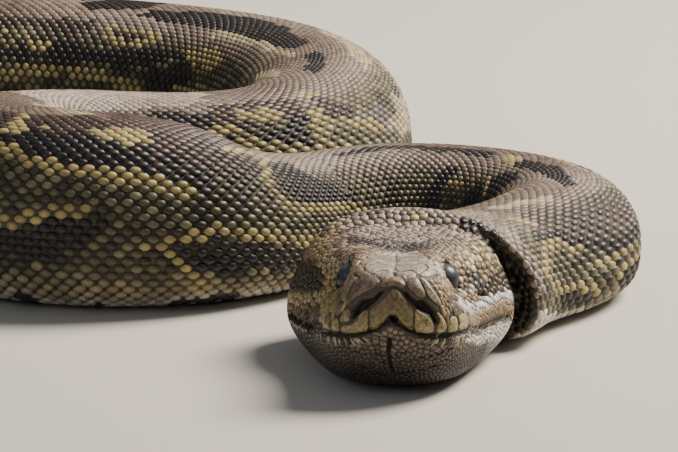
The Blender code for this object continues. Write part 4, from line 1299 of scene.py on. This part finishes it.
topShields = {  # the same, but outlined as seen from above: mm to the side, mm back
    "internasalLeft": ([(-1.1, 5.4), (-4.2, 5.4), (-7.4, 6.6), (-8.4, 9.4), (-6, 11.9), (-2.4, 11.8),
     (-0.7, 12.2)], (-4.2, 8.9), 0.75, "#a2958b", "#94867b"),
    "internasalRight": ([(0.7, 5.4), (4, 5.4), (7, 6.4), (8.2, 9.4), (5.8, 11.8), (2.4, 11.6),
     (0.5, 12.2)], (4, 8.9), 0.75, "#aa9e94", "#9c8e82"),
    "prefrontalLeft": ([(-0.8, 13.4), (-6, 12.8), (-8.9, 9.4), (-11.4, 13.8), (-12, 21),
     (-7.6, 25.6), (-0.6, 25.4)], (-6.2, 18.4), 0.7, "#978a80", "#a3978c"),
    "prefrontalRight": ([(0.6, 13.4), (5.8, 12.6), (8.6, 9.3), (11.2, 13.9), (11.9, 20.4), (7.8, 25.2),
     (0.3, 25.6)], (6, 18.2), 0.7, "#9b8e84", "#a79b91"),
    "backLeft1": ([(-0.6, 26), (-6.9, 26.3), (-8, 30.8), (-4.3, 34.2), (-0.5, 33.6)], (-4, 29.8),
     0.55, "#a2958a", "#aa9d92"),
    "backRight1": ([(0.3, 26.2), (7, 26), (8.4, 30.6), (4.2, 34), (0.2, 33.4)], (4, 29.8), 0.55,
     "#a89b90", "#ad9f93"),
    "backLeft2": ([(-7.7, 26.3), (-12.1, 22), (-14.2, 27), (-13.2, 32.6), (-8.8, 31)],
     (-11, 28), 0.6, "#a89472", "#9c8764"),
    "backRight2": ([(8, 26), (12.2, 21.6), (14.4, 27), (13.4, 32.4), (9.2, 30.6)], (11.2, 27.6),
     0.6, "#b8a98e", "#a99a80"),
    "frontalLeft": ([(-0.5, 34.2), (-4.2, 35), (-8.3, 31.8), (-11.3, 34.4), (-11.6, 40.6), (-8.8, 45.6),
     (-4, 47), (-0.5, 45.8)], (-5.6, 39.6), 0.5, "#93857b", "#9d8f84"),
    "frontalRight": ([(0.2, 34), (4.2, 34.8), (8.6, 31.4), (11.5, 34.6), (11.8, 40.2), (9, 45.2),
     (4.2, 46.8), (0.3, 46)], (5.8, 39.4), 0.5, "#95877c", "#a09186"),
    "beforeEyeLeft": ([(-12.9, 21.4), (-15.6, 23.4), (-17.4, 28.6), (-17.2, 34.4), (-15.6, 35.6),
     (-13.8, 33.4), (-14.8, 27)], (-15.6, 28.6), 0.8, "#a08b63", "#b3a17c"),
    # paler than its twin on the left: partly its own colour, partly a painted highlight on the lit right
    # side
    "beforeEyeRight": ([(13, 20.8), (15.8, 23), (17.8, 28.6), (17.4, 34.2), (15.8, 35.4),
     (14, 33.2), (15, 27)], (15.9, 28.4), 0.9, "#ddd6cd", "#d2c8bc"),
    "ridgeLeft": ([(-9.3, 8.8), (-12.6, 9.6), (-14.6, 14.2), (-15.4, 20.8), (-13, 20.6), (-11.9, 13.4)],
     (-13, 14.6), 0.7, "#99897a", "#93815f"),
    "ridgeRight": ([(9, 8.6), (12.4, 9.4), (14.6, 14), (15.4, 20.4), (13, 20.2), (11.7, 13.4)],
     (13, 14.2), 0.7, "#b9ada0", "#a99b80"),
}
shieldForm = {
    "sides": 44, "gapMm": 0.06, "edgeMm": 0.42,
    # share of the way out from the middle, and height there against the height of the edge
    "rings": [(1.0, -0.5), (0.975, 0.45), (0.93, 0.80), (0.84, 0.95), (0.70, 1.0), (0.50, 1.0),
              (0.25, 1.0)],
}


def shieldMesh(project, outline, middle, thickness, upper, lower, *spots):
    # one domed shield, set on the head through its outline
    sides, edge, rings = shieldForm["sides"], shieldForm["edgeMm"], shieldForm["rings"]
    middle = np.array(middle, float)
    spokes = roundLoop(outline, sides) - middle
    spokes = spokes * (1 - shieldForm["gapMm"] / np.linalg.norm(spokes, axis=1))[:, None]
    flat = np.vstack([middle + spokes * share for share, _ in rings] + [middle])
    rise = np.concatenate([np.full(sides, high * edge + (thickness - edge) * (1 - share ** 2))
                           for share, high in rings] + [[thickness]])
    roots, normals = project(flat)
    broad = unit(normals[-1] * 0.55 + normals * 0.45)
    points = roots + broad * (rise / 1000)[:, None]
    last = len(flat) - 1
    faces = gridFaces(len(rings), sides, closed=True)
    faces += [(last - sides + i, last - sides + (i + 1) % sides, last) for i in range(sides)]
    x, y = flat.T
    tint = mixColours(toLinear(lower), toLinear(upper), softStep(y.min(), y.max(), y))
    fleck, streak = softNoise(x / 1.4, y / 1.4, 31), softNoise(x / 0.5, y / 1.6, 32)
    freckle = softNoise(x / 0.45 + 60, y / 0.45, 33)
    tint = tint * ((0.78 + 0.48 * fleck) * (1 - 0.45 * softStep(0.68, 0.80, freckle))
                   * (0.90 + 0.20 * streak))[:, None]
    tint[:sides] *= 0.45        # painted shade where it meets the skin
    for across, up, radius in spots:
        near = np.exp(-(np.hypot(x - across, y - up) / radius) ** 2)
        tint = mixColours(tint, headPaint["spot"], 0.85 * near)
    return points, faces, tint


# the granules of the head: scattered by the spacing wanted there, then evened out. Those
# of the lips and round the eyes stand in rows
lipRows = [  # mm above the lip line, step, width, mm to the side from and to, thickness
    (3.4, 2.0, 5.6, 28.4, 45.0, 0.5),
    (-2.6, 1.15, 4.2, 6.0, 26.5, 0.42),
]
eyeRow = {"count": 12, "outMm": 3.2, "radiusMm": 6.7, "sizeMm": (3.0, 3.0, 1.0),
          "faces": (0.80, -0.34, 0.28)}
granules = {
    "tries": 60000, "seed": 7,
    # squared distances kept to a granule and to a shield, in steps of the spacing there
    "apart": 0.62, "offShields": 0.30,
    "cube": 0.004,          # edge of the cubes in which they are looked up
    "offEyes": 0.0062,      # from the middle of the eye
    # mm kept from a pit and from a shield, when they are thrown and once they are even
    "thrownOff": (1.2, 0.4), "settledOff": (0.9, 0.6),
    "rounds": 10, "neighbours": 9, "reach": 1.15, "push": 0.22,     # how they are evened out
    "cutBy": 18,            # the neighbours that shape a granule
    "sides": 9, "gap": 0.00007, "shoulder": 0.83, "corner": 0.18, "leastRound": 0.0015,
    "rises": (-0.25, 0.86, 1.0), "paintedShades": (0.34, 0.95, 1.08),      # rim, shoulder and top: painted shade at the rim and a little painted light on the top
}


def rowSites(surface):
    # places and sizes (along, across and thickness in mm) of the granules that stand in rows
    rows = []
    line = np.array(mouthLine)
    run = runAlong(line)
    for above, step, wide, least, most, thick in lipRows:
        for x, y, z in readLine(line, run, np.arange(1.2, run[-1], step)):
            if least < abs(x) < most and y < 78:
                rows.append((x, y, z + above, step, wide, thick))
    for side in (-1, 1):
        out = unit(np.array(eyeRow["faces"]) * (side, 1, 1))
        u = unit(np.cross(out, (0, 0, 1)))
        v = np.cross(out, u)
        for k in range(eyeRow["count"]):
            a = circle * (k + 0.3) / eyeRow["count"]
            at = (eyeMiddle(side) * 1000 + out * eyeRow["outMm"]
                  + (u * math.cos(a) + v * math.sin(a)) * eyeRow["radiusMm"])
            rows.append((*at, *eyeRow["sizeMm"]))
    rows = np.array(rows)
    return surface.nearest(headPlace(*rows[:, :3].T / 1000))[0], rows[:, 3:]


def spacing(points):
    # along mm, across mm and thickness mm of the granules at head places in mm
    across, back, high = np.abs(points[:, 0]), points[:, 1], points[:, 2]
    top = softStep(42, 45, high)
    snout = softStep(46, 38, back)
    crown = top * (1 - snout)
    along = 2.7 - 1.1 * crown
    wide = 2.7 + 0.1 * crown
    thick = 0.55 - 0.36 * crown - 0.15 * top * snout
    side = (1 - top) * softStep(48, 40, back) * softStep(15, 18, across) * softStep(22, 26, high)
    along, wide = along - 1.2 * side, wide + 2.2 * side
    behindEye = np.exp(-((points[:, 0] - 34) / 10) ** 2 - ((high - 40) / 8) ** 2)
    along, wide, thick = along + 2.4 * behindEye, wide + 1.8 * behindEye, thick + 0.45 * behindEye
    chin = softStep(24, 18, high)
    along, wide, thick = along - 0.85 * chin, wide - 0.95 * chin, thick - 0.24 * chin
    rear = softStep(74, 112, back)
    along, wide = along * (1 - rear) + 4.4 * rear, wide * (1 - rear) + 3.3 * rear
    thick = thick * (1 - rear) + 0.5 * rear
    return np.column_stack([along, wide, thick])


def gauges(directions, sizes):
    # for each place the matrix that turns a way in metres into steps of the spacing there:
    # tailwards, sideways and outwards
    normals, lies, sides = directions
    along, wide = sizes[:, :1] / 1000, sizes[:, 1:2] / 1000
    return np.stack([lies / along, sides / wide, normals / ((along + wide) / 2)], axis=1)


def ghostPlaces(surface):
    # places that keep the granules off the shields, pits, eyes, lips and the first body scales
    ghosts = []
    for group, project in ((shields, surface.fromFront), (topShields, surface.fromAbove)):
        for outline, middle, *_ in group.values():
            spokes = roundLoop(outline, 40) - middle
            for share in (1 - 1.0 / np.linalg.norm(spokes, axis=1).mean(), 0.45):
                ghosts.append(project(middle + spokes * share)[0])
    for outline, *_ in hollows[:3]:
        inner = np.array(outline) * 0.8 + np.mean(outline, axis=0) * 0.2
        ghosts.append(surface.fromFront(roundLoop(inner, 24))[0])
    for side in (-1, 1):
        away = np.linalg.norm(surface.points - headPlace(*eyeMiddle(side))[0], axis=1)
        ghosts.append(surface.points[away < granules["offEyes"]])
    line = np.array(mouthLine)
    run = runAlong(line)
    lip = readLine(line, run, np.arange(0, run[-1], 0.8)) / 1000
    ghosts.append(surface.nearest(headPlace(*lip.T))[0])
    cleft = grooves[0][0]
    numbers = np.arange(len(cleft))
    ghosts.append(surface.fromFront(readLine(cleft, numbers, np.linspace(0, numbers[-1], 22)))[0])
    ghosts.append(bodyScales(28, 0.0, 0.016)["position"])
    return np.vstack(ghosts)


def scatteredSites(surface, fixed, ghosts):
    # places and sizes of granules thrown at random and kept where there is room
    quads = [f for f in surface.faces if len(f) == 4]
    corners = np.array([f[:3] for f in surface.faces] + [(f[0], f[2], f[3]) for f in quads])
    a, b, c = (surface.points[corners[:, k]] for k in range(3))
    area = np.linalg.norm(np.cross(b - a, c - a), axis=1)
    rng = np.random.default_rng(granules["seed"])
    pick = rng.choice(len(corners), granules["tries"], p=area / area.sum())
    u, v = rng.random((2, len(pick), 1))
    flip = u + v > 1
    u, v = np.where(flip, 1 - u, u), np.where(flip, 1 - v, v)
    tries = a[pick] * (1 - u - v) + b[pick] * u + c[pick] * v
    local = toHead(tries) * 1000
    sizes = spacing(local)
    gauge = gauges(surface.directions(tries), sizes)
    face, back = onFace(local), local[:, 1]
    barred = local[:, 2] < 1.5      # these would touch the ground
    offPits, offShields = granules["thrownOff"]
    for outline, *_ in hollows[:3]:
        barred |= (insideBy(face, outline) > -offPits) & (back < 14)
    for outline, *_ in shields.values():
        barred |= (insideBy(face, outline) > -offShields) & (back < 30)
    cubes = {}

    def cubeOf(p):
        return tuple(int(math.floor(x / granules["cube"])) for x in p)

    def put(p, room):
        cubes.setdefault(cubeOf(p), []).append((p, room))

    def tooClose(p, measure):
        i, j, k = cubeOf(p)
        for key in itertools.product((i - 1, i, i + 1), (j - 1, j, j + 1), (k - 1, k, k + 1)):
            for q, room in cubes.get(key, ()):
                way = measure @ (q - p)
                if way @ way < room:
                    return True
        return False

    for p in ghosts:
        put(p, granules["offShields"])
    for p in fixed:
        put(p, granules["apart"])
    chosen = []
    for n in np.flatnonzero(~barred):
        if not tooClose(tries[n], gauge[n]):
            put(tries[n], granules["apart"])
            chosen.append(n)
    return tries[chosen], sizes[chosen]


def evenedOut(surface, free, sizes, others):
    # every granule moves away from those that crowd it
    reach = granules["reach"]
    for _ in range(granules["rounds"]):
        everyone = np.vstack([free, others])
        lookup = lookupOf(everyone)
        normals, lies, sides = surface.directions(free)
        gauge = gauges((normals, lies, sides), sizes)
        moved = np.empty_like(free)
        for n, p in enumerate(free):
            push = np.zeros(3)
            for _, m, _ in lookup.find_n(Vector(p), granules["neighbours"]):
                way = gauge[n] @ (p - everyone[m])
                r = math.sqrt(way @ way)
                if 1e-6 < r < reach:
                    x, y = way[:2] * sizes[n, :2] / 1000 * ((reach - r) * granules["push"] / r)
                    push += lies[n] * x + sides[n] * y
            moved[n] = p + push
        free = surface.nearest(moved)[0]
    return free


def headGranules(surface):
    fixed, fixedSizes = rowSites(surface)
    ghosts = ghostPlaces(surface)
    free, sizes = scatteredSites(surface, fixed, ghosts)
    free = evenedOut(surface, free, sizes, np.vstack([fixed, ghosts]))
    settled = onFace(toHead(free) * 1000)
    strayed = np.zeros(len(free), bool)
    offPits, offShields = granules["settledOff"]
    for outline, *_ in hollows[:2]:
        strayed |= insideBy(settled, outline) > -offPits
    for outline, *_ in shields.values():
        strayed |= insideBy(settled, outline) > -offShields
    strayed &= toHead(free)[:, 1] < 0.022
    return np.vstack([free[~strayed], fixed]), np.vstack([sizes[~strayed], fixedSizes]), ghosts


def cutCell(loop, x, y, half):
    # what is left of a cell on this side of the line halfway to a neighbour
    cut = []
    for p, q in zip(loop, loop[1:] + loop[:1]):
        f, g = p[0] * x + p[1] * y - half, q[0] * x + q[1] * y - half
        if f <= 0:
            cut.append(p)
        if (f < 0 < g) or (g < 0 < f):
            t = f / (f - g)
            cut.append((p[0] + (q[0] - p[0]) * t, p[1] + (q[1] - p[1]) * t))
    return cut


def roundedCell(loop, size):
    # corners cut once, then a fixed number of even steps; none if the cell is too small
    if len(loop) < 3:
        return None
    loop, share = np.array(loop) * size, granules["corner"]
    ahead = np.roll(loop, -1, axis=0)
    cut = np.stack([loop * (1 - share) + ahead * share, loop * share + ahead * (1 - share)], axis=1)
    cut = cut.reshape(-1, 2)
    if runAlong(closedLoop(cut))[-1] < granules["leastRound"]:
        return None
    return evenSteps(cut, granules["sides"])


def granuleMesh(surface, sites, sizes, ghosts):
    # every granule fills its own share of the surface, less a thin gap
    directions = surface.directions(sites)
    gauge = gauges(directions, sizes)
    everyone = np.vstack([sites, ghosts])
    lookup = lookupOf(everyone)
    outlines, owners = [], []
    for n, p in enumerate(sites):
        loop = [(-0.75, -0.75), (0.75, -0.75), (0.75, 0.75), (-0.75, 0.75)]
        for _, m, _ in lookup.find_n(Vector(p), granules["cutBy"])[1:]:
            x, y, z = gauge[n] @ (everyone[m] - p)
            if len(loop) > 2 and x * x + y * y >= 1e-8:
                loop = cutCell(loop, x, y, (x * x + y * y + z * z) / 2)
        cell = roundedCell(loop, sizes[n, :2] / 1000)
        if cell is not None:
            outlines.append(cell)
            owners.append(n)
    outlines, count = np.array(outlines), granules["sides"]
    sites, normals, lies, sides = (v[owners] for v in (sites, *directions))
    middle = outlines.mean(axis=1, keepdims=True)
    radius = np.linalg.norm(outlines - middle, axis=2, keepdims=True)
    outer = middle + (outlines - middle) * np.clip(1 - granules["gap"] / radius, 0.5, 1)
    inner = middle + (outer - middle) * granules["shoulder"]
    thick = np.minimum(sizes[owners, 2] / 1000, radius.min(axis=(1, 2)) * 0.9)
    rings = []
    for flat, rise in zip((outer, inner, middle), granules["rises"]):
        wanted = (sites[:, None] + lies[:, None] * flat[..., :1] + sides[:, None] * flat[..., 1:])
        roots, around = surface.nearest(wanted.reshape(-1, 3))
        lean = unit(np.repeat(normals, flat.shape[1], axis=0) * 0.6 + around * 0.4)
        high = np.repeat(thick, flat.shape[1])[:, None] * rise
        rings.append((roots + lean * high).reshape(len(owners), -1, 3))
    points = np.concatenate(rings, axis=1)
    faces = []
    for k in range(count):
        q = (k + 1) % count
        faces += [(k, q, count + q), (k, count + q, count + k), (count + k, count + q, 2 * count)]
    faces = np.array(faces)[None] + (np.arange(len(owners)) * points.shape[1])[:, None, None]
    return points.reshape(-1, 3), faces.reshape(-1, 3), sites, points.shape[1]


def coatObject(mesh, tint, patches, material):
    # a joined coat piece with its tint and its own small patch of the bake map for each scale
    setAttribute(mesh, "tint", "FLOAT_COLOR", tint)
    setAttribute(mesh, "dome", "FLOAT", np.full(len(tint), 0.9))
    setUv(mesh, "OFBake", patches)
    mesh.materials.append(material)
    return newObject(mesh.name, mesh)


def unrolled(points):
    # the head's own unwrap: round the axis of the skull and along it
    local = toHead(points)
    around = np.arctan2(local[:, 0], local[:, 2] - 0.024) / circle + 0.5
    return np.column_stack([0.03 + 0.94 * around, 0.04 + 0.90 * np.clip(local[:, 1] / 0.105, 0, 1)])


def buildShields(surface):
    both = ([(surface.fromFront, *shield) for shield in shields.values()]
            + [(surface.fromAbove, *shield) for shield in topShields.values()])
    points, faces, tints = [], [], []
    for own, ownFaces, tint in (shieldMesh(*shield) for shield in both):
        faces += [tuple(i + len(points) for i in f) for f in ownFaces]
        points += list(own)
        tints.append(tint)
    made = coatObject(meshFrom("faceShields", points, faces), np.vstack(tints),
                      unrolled(np.array(points)), headScaleMaterial)
    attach(made, "root")
    print(f"faceShields: {len(both)} shields")


def granuleTint(surface, sites):
    jitter = dice(np.arange(len(sites)), 5, 41)
    frontal = softStep(-0.16, 0.02, -(surface.nearest(sites)[1] @ faceAxis))
    tint = headTint(toHead(sites) * 1000, frontal, jitter)
    # on the nape, and in the fold of the neck, the head's colours give way to the body's, which carry
    # the painted shadow of the fold
    lookup = lookupOf(table.grid[:32].reshape(-1, 3))
    found = np.array([lookup.find(Vector(p))[1] for p in sites])
    along, around = table.s[found // len(table.shares)], table.shares[found % len(table.shares)]
    bodyOwn = bodyTint(along, around, np.interp(along, table.s, table.half), jitter)
    fold = softStep(-0.040, -0.033, along) * (around < -0.18) * (around > -0.75)
    return mixColours(tint, bodyOwn, np.maximum(softStep(-0.034, -0.010, along), fold))


def buildGranules(surface):
    points, faces, sites, per = granuleMesh(surface, *headGranules(surface))
    rim, shoulder, top = granules["paintedShades"]
    # painted shade darkens each granule's rim, and its top is painted a little lighter
    shade = np.tile([rim] * granules["sides"] + [shoulder] * granules["sides"] + [top], len(sites))
    tint = np.repeat(granuleTint(surface, sites), per, axis=0) * shade[:, None]
    spread = (points - np.repeat(sites, per, axis=0)) / 0.004 * 0.0013
    patches = (np.repeat(unrolled(sites), per, axis=0)
               + np.clip(spread[:, [0, 2]], -0.0015, 0.0015))
    local = toHead(sites) * 1000
    _, lipBack, lipHigh = np.array(mouthLine[10:]).T
    jaw = np.repeat(local[:, 2] < np.interp(local[:, 1], lipBack, lipHigh), per)
    for name, chosen, slotName in (("headGranules", ~jaw, "head_scales"),
                                   ("jawGranules", jaw, "jaw_scales")):
        renumber = np.cumsum(chosen) - 1
        mesh = meshFrom(name, points[chosen], renumber[faces[chosen[faces[:, 0]]]])
        made = coatObject(mesh, tint[chosen], patches[chosen], headScaleMaterial)
        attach(made, "root")
        print(f"{name}: {int(chosen.sum() / per)} granules")


headSurface = HeadSurface(skinObject.data, skinFaces, headPointCount)
buildShields(headSurface)
buildGranules(headSurface)

# the coat of the body, in pieces along it: from, to, rows on each side, slot
bodyPieces = [
    ("neckScales", 0.0, 0.24, 28, "neck_scales"), ("trunkScales1", 0.24, 0.56, 38, "trunk_scales"),
    ("trunkScales2", 0.56, 0.90, 38, "trunk_scales"), ("trunkScales3", 0.90, 1.40, 38, "trunk_scales"),
    ("trunkScales4", 1.40, 1.92, 38, "trunk_scales"), ("trunkScales5", 1.92, 2.44, 38, "trunk_scales"),
    ("tailScales", 2.44, 2.868, 19, "tail_scales")]
tree, keys = scatterTree(scaleShapes, bodyScaleMaterial)
for name, start, end, rows, slotName in bodyPieces:
    scales = bodyScales(rows, start, end)
    scales["rootUv"] = np.column_stack([0.02 + 0.96 * (scales["s"] - start) / (end - start),
                                        0.5 + 0.48 * scales["share"] / lattice["bellyFrom"],
                                        np.zeros(len(scales["s"]))])
    piece = scatter(name, scales, tree, keys)
    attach(piece, "root")
for shape in scaleShapes:
    bpy.data.objects.remove(shape)


# the belly: one broad plate after another
belly = {
    "plateMm": 9.0, "from": 0.785, "thicknessMm": 0.85, "across": 14, "start": 0.002,
    "bow": 0.10,    # how far the middle of a plate lies behind its ends, in plates
    # share of the plate's length, and height there against the thickness
    "profile": [(-0.10, -0.2), (0.0, 0.35), (0.35, 0.62), (0.75, 0.90), (1.02, 1.0), (1.04, -0.1)],
}


def turnOutwards(mesh):
    work = bmesh.new()
    work.from_mesh(mesh)
    bmesh.ops.recalc_face_normals(work, faces=work.faces)
    work.to_mesh(mesh)
    work.free()
    mesh.shade_smooth()


def bellyPlates():
    points, faces, tints, patches = [], [], [], []
    s, number = belly["start"], 0
    profile = belly["profile"]
    turns = np.linspace(belly["from"], 2 - belly["from"], belly["across"] + 1)
    share, width = np.where(turns > 1, turns - 2, turns), len(turns)
    bow = belly["bow"] * np.cos((turns - 1) / (1 - belly["from"]) * math.pi / 2)
    edge = np.where((turns == turns[0]) | (turns == turns[-1]), -0.2, 1.0)
    spread = np.column_stack([np.tile(turns - 1, len(profile)) * 0.010,
                              np.repeat([u for u, _ in profile], width) * 0.0015])
    while s < bodyLength - 0.02:
        size = float(np.clip(np.interp(s, table.s, table.half) / 0.12, 0.12, 1))
        long = belly["plateMm"] / 1000 * (0.25 + 0.75 * size)
        for u, rise in profile:
            at = np.clip(s + long * (u + bow), 0, bodyLength)
            lift = np.minimum(rise * edge, 1.0) * belly["thicknessMm"] / 1000 * size
            points.append(table.read(table.grid, at, share)
                          + table.read(table.normal, at, share) * lift[:, None])
        faces += gridFaces(len(profile), width, number * len(profile) * width)
        speck = softNoise(turns * 9 + number * 3.1, number * 0.7, 51)
        tone = paint["belly"] * (0.90 + 0.16 * dice(number, 1, 52))
        row = np.where((speck > 0.74)[:, None], paint["speckle"] * 1.6, tone)
        tints.append(np.tile(row, (len(profile), 1)))
        root = np.array([0.02 + 0.96 * (number % 24) / 24, 0.03 + 0.94 * (number // 24) / 14])
        patches.append(root + spread)
        s += long
        number += 1
    print(f"bellyPlates: {number} plates")
    mesh = meshFrom("bellyPlates", np.vstack(points), faces)
    turnOutwards(mesh)
    return coatObject(mesh, np.vstack(tints), np.vstack(patches), bellyMaterial)


plates = bellyPlates()
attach(plates, "root")

# the eyes: clouded, as before the skin is shed
eyeTones = [(0.0, "#0c0c0e"), (0.55, "#24262c"), (1.0, "#4a4e57")]     # from below to above: painted shade below and painted light above


def eyeMaterial():
    # the scale over a clouded eye: a milky blue grey, with painted shade below and painted light above,
    # under a soft shine
    made, tree, surface = newMaterial("cloudedEyeCap")
    where = addNode(tree, "ShaderNodeTexCoord").outputs["Object"]
    split = addNode(tree, "ShaderNodeSeparateXYZ", None, {"Vector": where})
    height = head["eye"]["height"]
    # height on the eye, for the painted shade below and the painted light above
    level = addNode(tree, "ShaderNodeMapRange", None,
                    {"Value": split.outputs["Z"], "From Min": height - 0.003,
                     "From Max": height + 0.0045})
    mist = addNode(tree, "ShaderNodeTexNoise", None,
                   {"Vector": where, "Scale": 420.0, "Detail": 3.0})
    blend = addNode(tree, "ShaderNodeMath", {"operation": "MULTIPLY_ADD"},
                    {0: mist, 1: 0.5, 2: -0.25})
    both = addNode(tree, "ShaderNodeMath", {"operation": "ADD", "use_clamp": True},
                   {0: level, 1: blend})
    ramp = addNode(tree, "ShaderNodeValToRGB", None, {"Fac": both})
    ramp.color_ramp.elements.new(0.5)
    for element, (at, colour) in zip(ramp.color_ramp.elements, eyeTones):
        element.position, element.color = at, (*toLinear(colour), 1)
    rough = addNode(tree, "ShaderNodeMapRange", None,
                    {"Value": mist, "To Min": 0.22, "To Max": 0.40})
    bump = addNode(tree, "ShaderNodeBump", None,
                   {"Strength": 0.08, "Distance": 0.0002, "Height": mist})
    intoSurface(tree, surface, ramp, rough, bump)
    surface.inputs["Specular IOR Level"].default_value = 0.35
    return made


eyeCap = eyeMaterial()
for node in eyeNodes:
    low, high = (np.array(corner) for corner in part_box(node))
    ball = bmesh.new()
    bmesh.ops.create_uvsphere(ball, u_segments=48, v_segments=28, radius=float((high - low)[2]) / 2)
    bmesh.ops.translate(ball, vec=Vector((low + high) / 2), verts=ball.verts)
    mesh = bpy.data.meshes.new(node + "Cap")
    ball.to_mesh(mesh)
    ball.free()
    mesh.shade_smooth()
    mesh.materials.append(eyeCap)
    cap = newObject(node + "Cap", mesh)
    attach(cap, "root")
    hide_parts(node)
print("eyes built")

# floor, light and camera
studio = {
    "floor": "#c9c5bd", "floorReach": 6, "aim": (0.05, 0, 0.03), "sky": "#dfe3e8", "skyStrength": 0.22,
    # place, diameter, watts and colour: warm light from high on the right and a cool fill
    "lights": {"key": ((1.5, 0.45, 1.5), 1.0, 108, "#fff4e6"),
               "fill": ((-1.4, -1.9, 1.2), 1.6, 9, "#e9f0ff")},
    "camera": {"at": (0.2972, -2.1176, 0.4534), "tilt": 78, "lensMm": 257.86},
}
reach = studio["floorReach"]
floorMesh = meshFrom("floor", [(-reach, -reach, 0), (reach, -reach, 0), (reach, reach, 0),
                               (-reach, reach, 0)], [(0, 1, 2, 3)])
floor = newObject("floor", floorMesh)
floorMaterial, _, floorSurface = newMaterial("paleStudioFloor")     # matt, so it mirrors nothing
floorSurface.inputs["Base Color"].default_value = (*toLinear(studio["floor"]), 1)
floorSurface.inputs["Roughness"].default_value = 0.8
floorMesh.materials.append(floorMaterial)

for name, (at, size, power, colour) in studio["lights"].items():
    lamp = bpy.data.lights.new(name, "AREA")
    lamp.shape, lamp.size, lamp.energy = "DISK", size, power
    lamp.color = toLinear(colour)
    made = newObject(name, lamp)
    made.location = at
    made.rotation_euler = (Vector(studio["aim"]) - Vector(at)).to_track_quat("-Z", "Y").to_euler()
world = bpy.data.worlds.new("studio")
world.use_nodes = True
bpy.context.scene.world = world
sky = world.node_tree.nodes["Background"]
sky.inputs["Color"].default_value = (*toLinear(studio["sky"]), 1)
sky.inputs["Strength"].default_value = studio["skyStrength"]

lens = bpy.data.cameras.new("view")
lens.lens = studio["camera"]["lensMm"]
camera = newObject("view", lens)
camera.location = studio["camera"]["at"]
camera.rotation_euler = (math.radians(studio["camera"]["tilt"]), 0, 0)
bpy.context.scene.camera = camera
print("studio set")
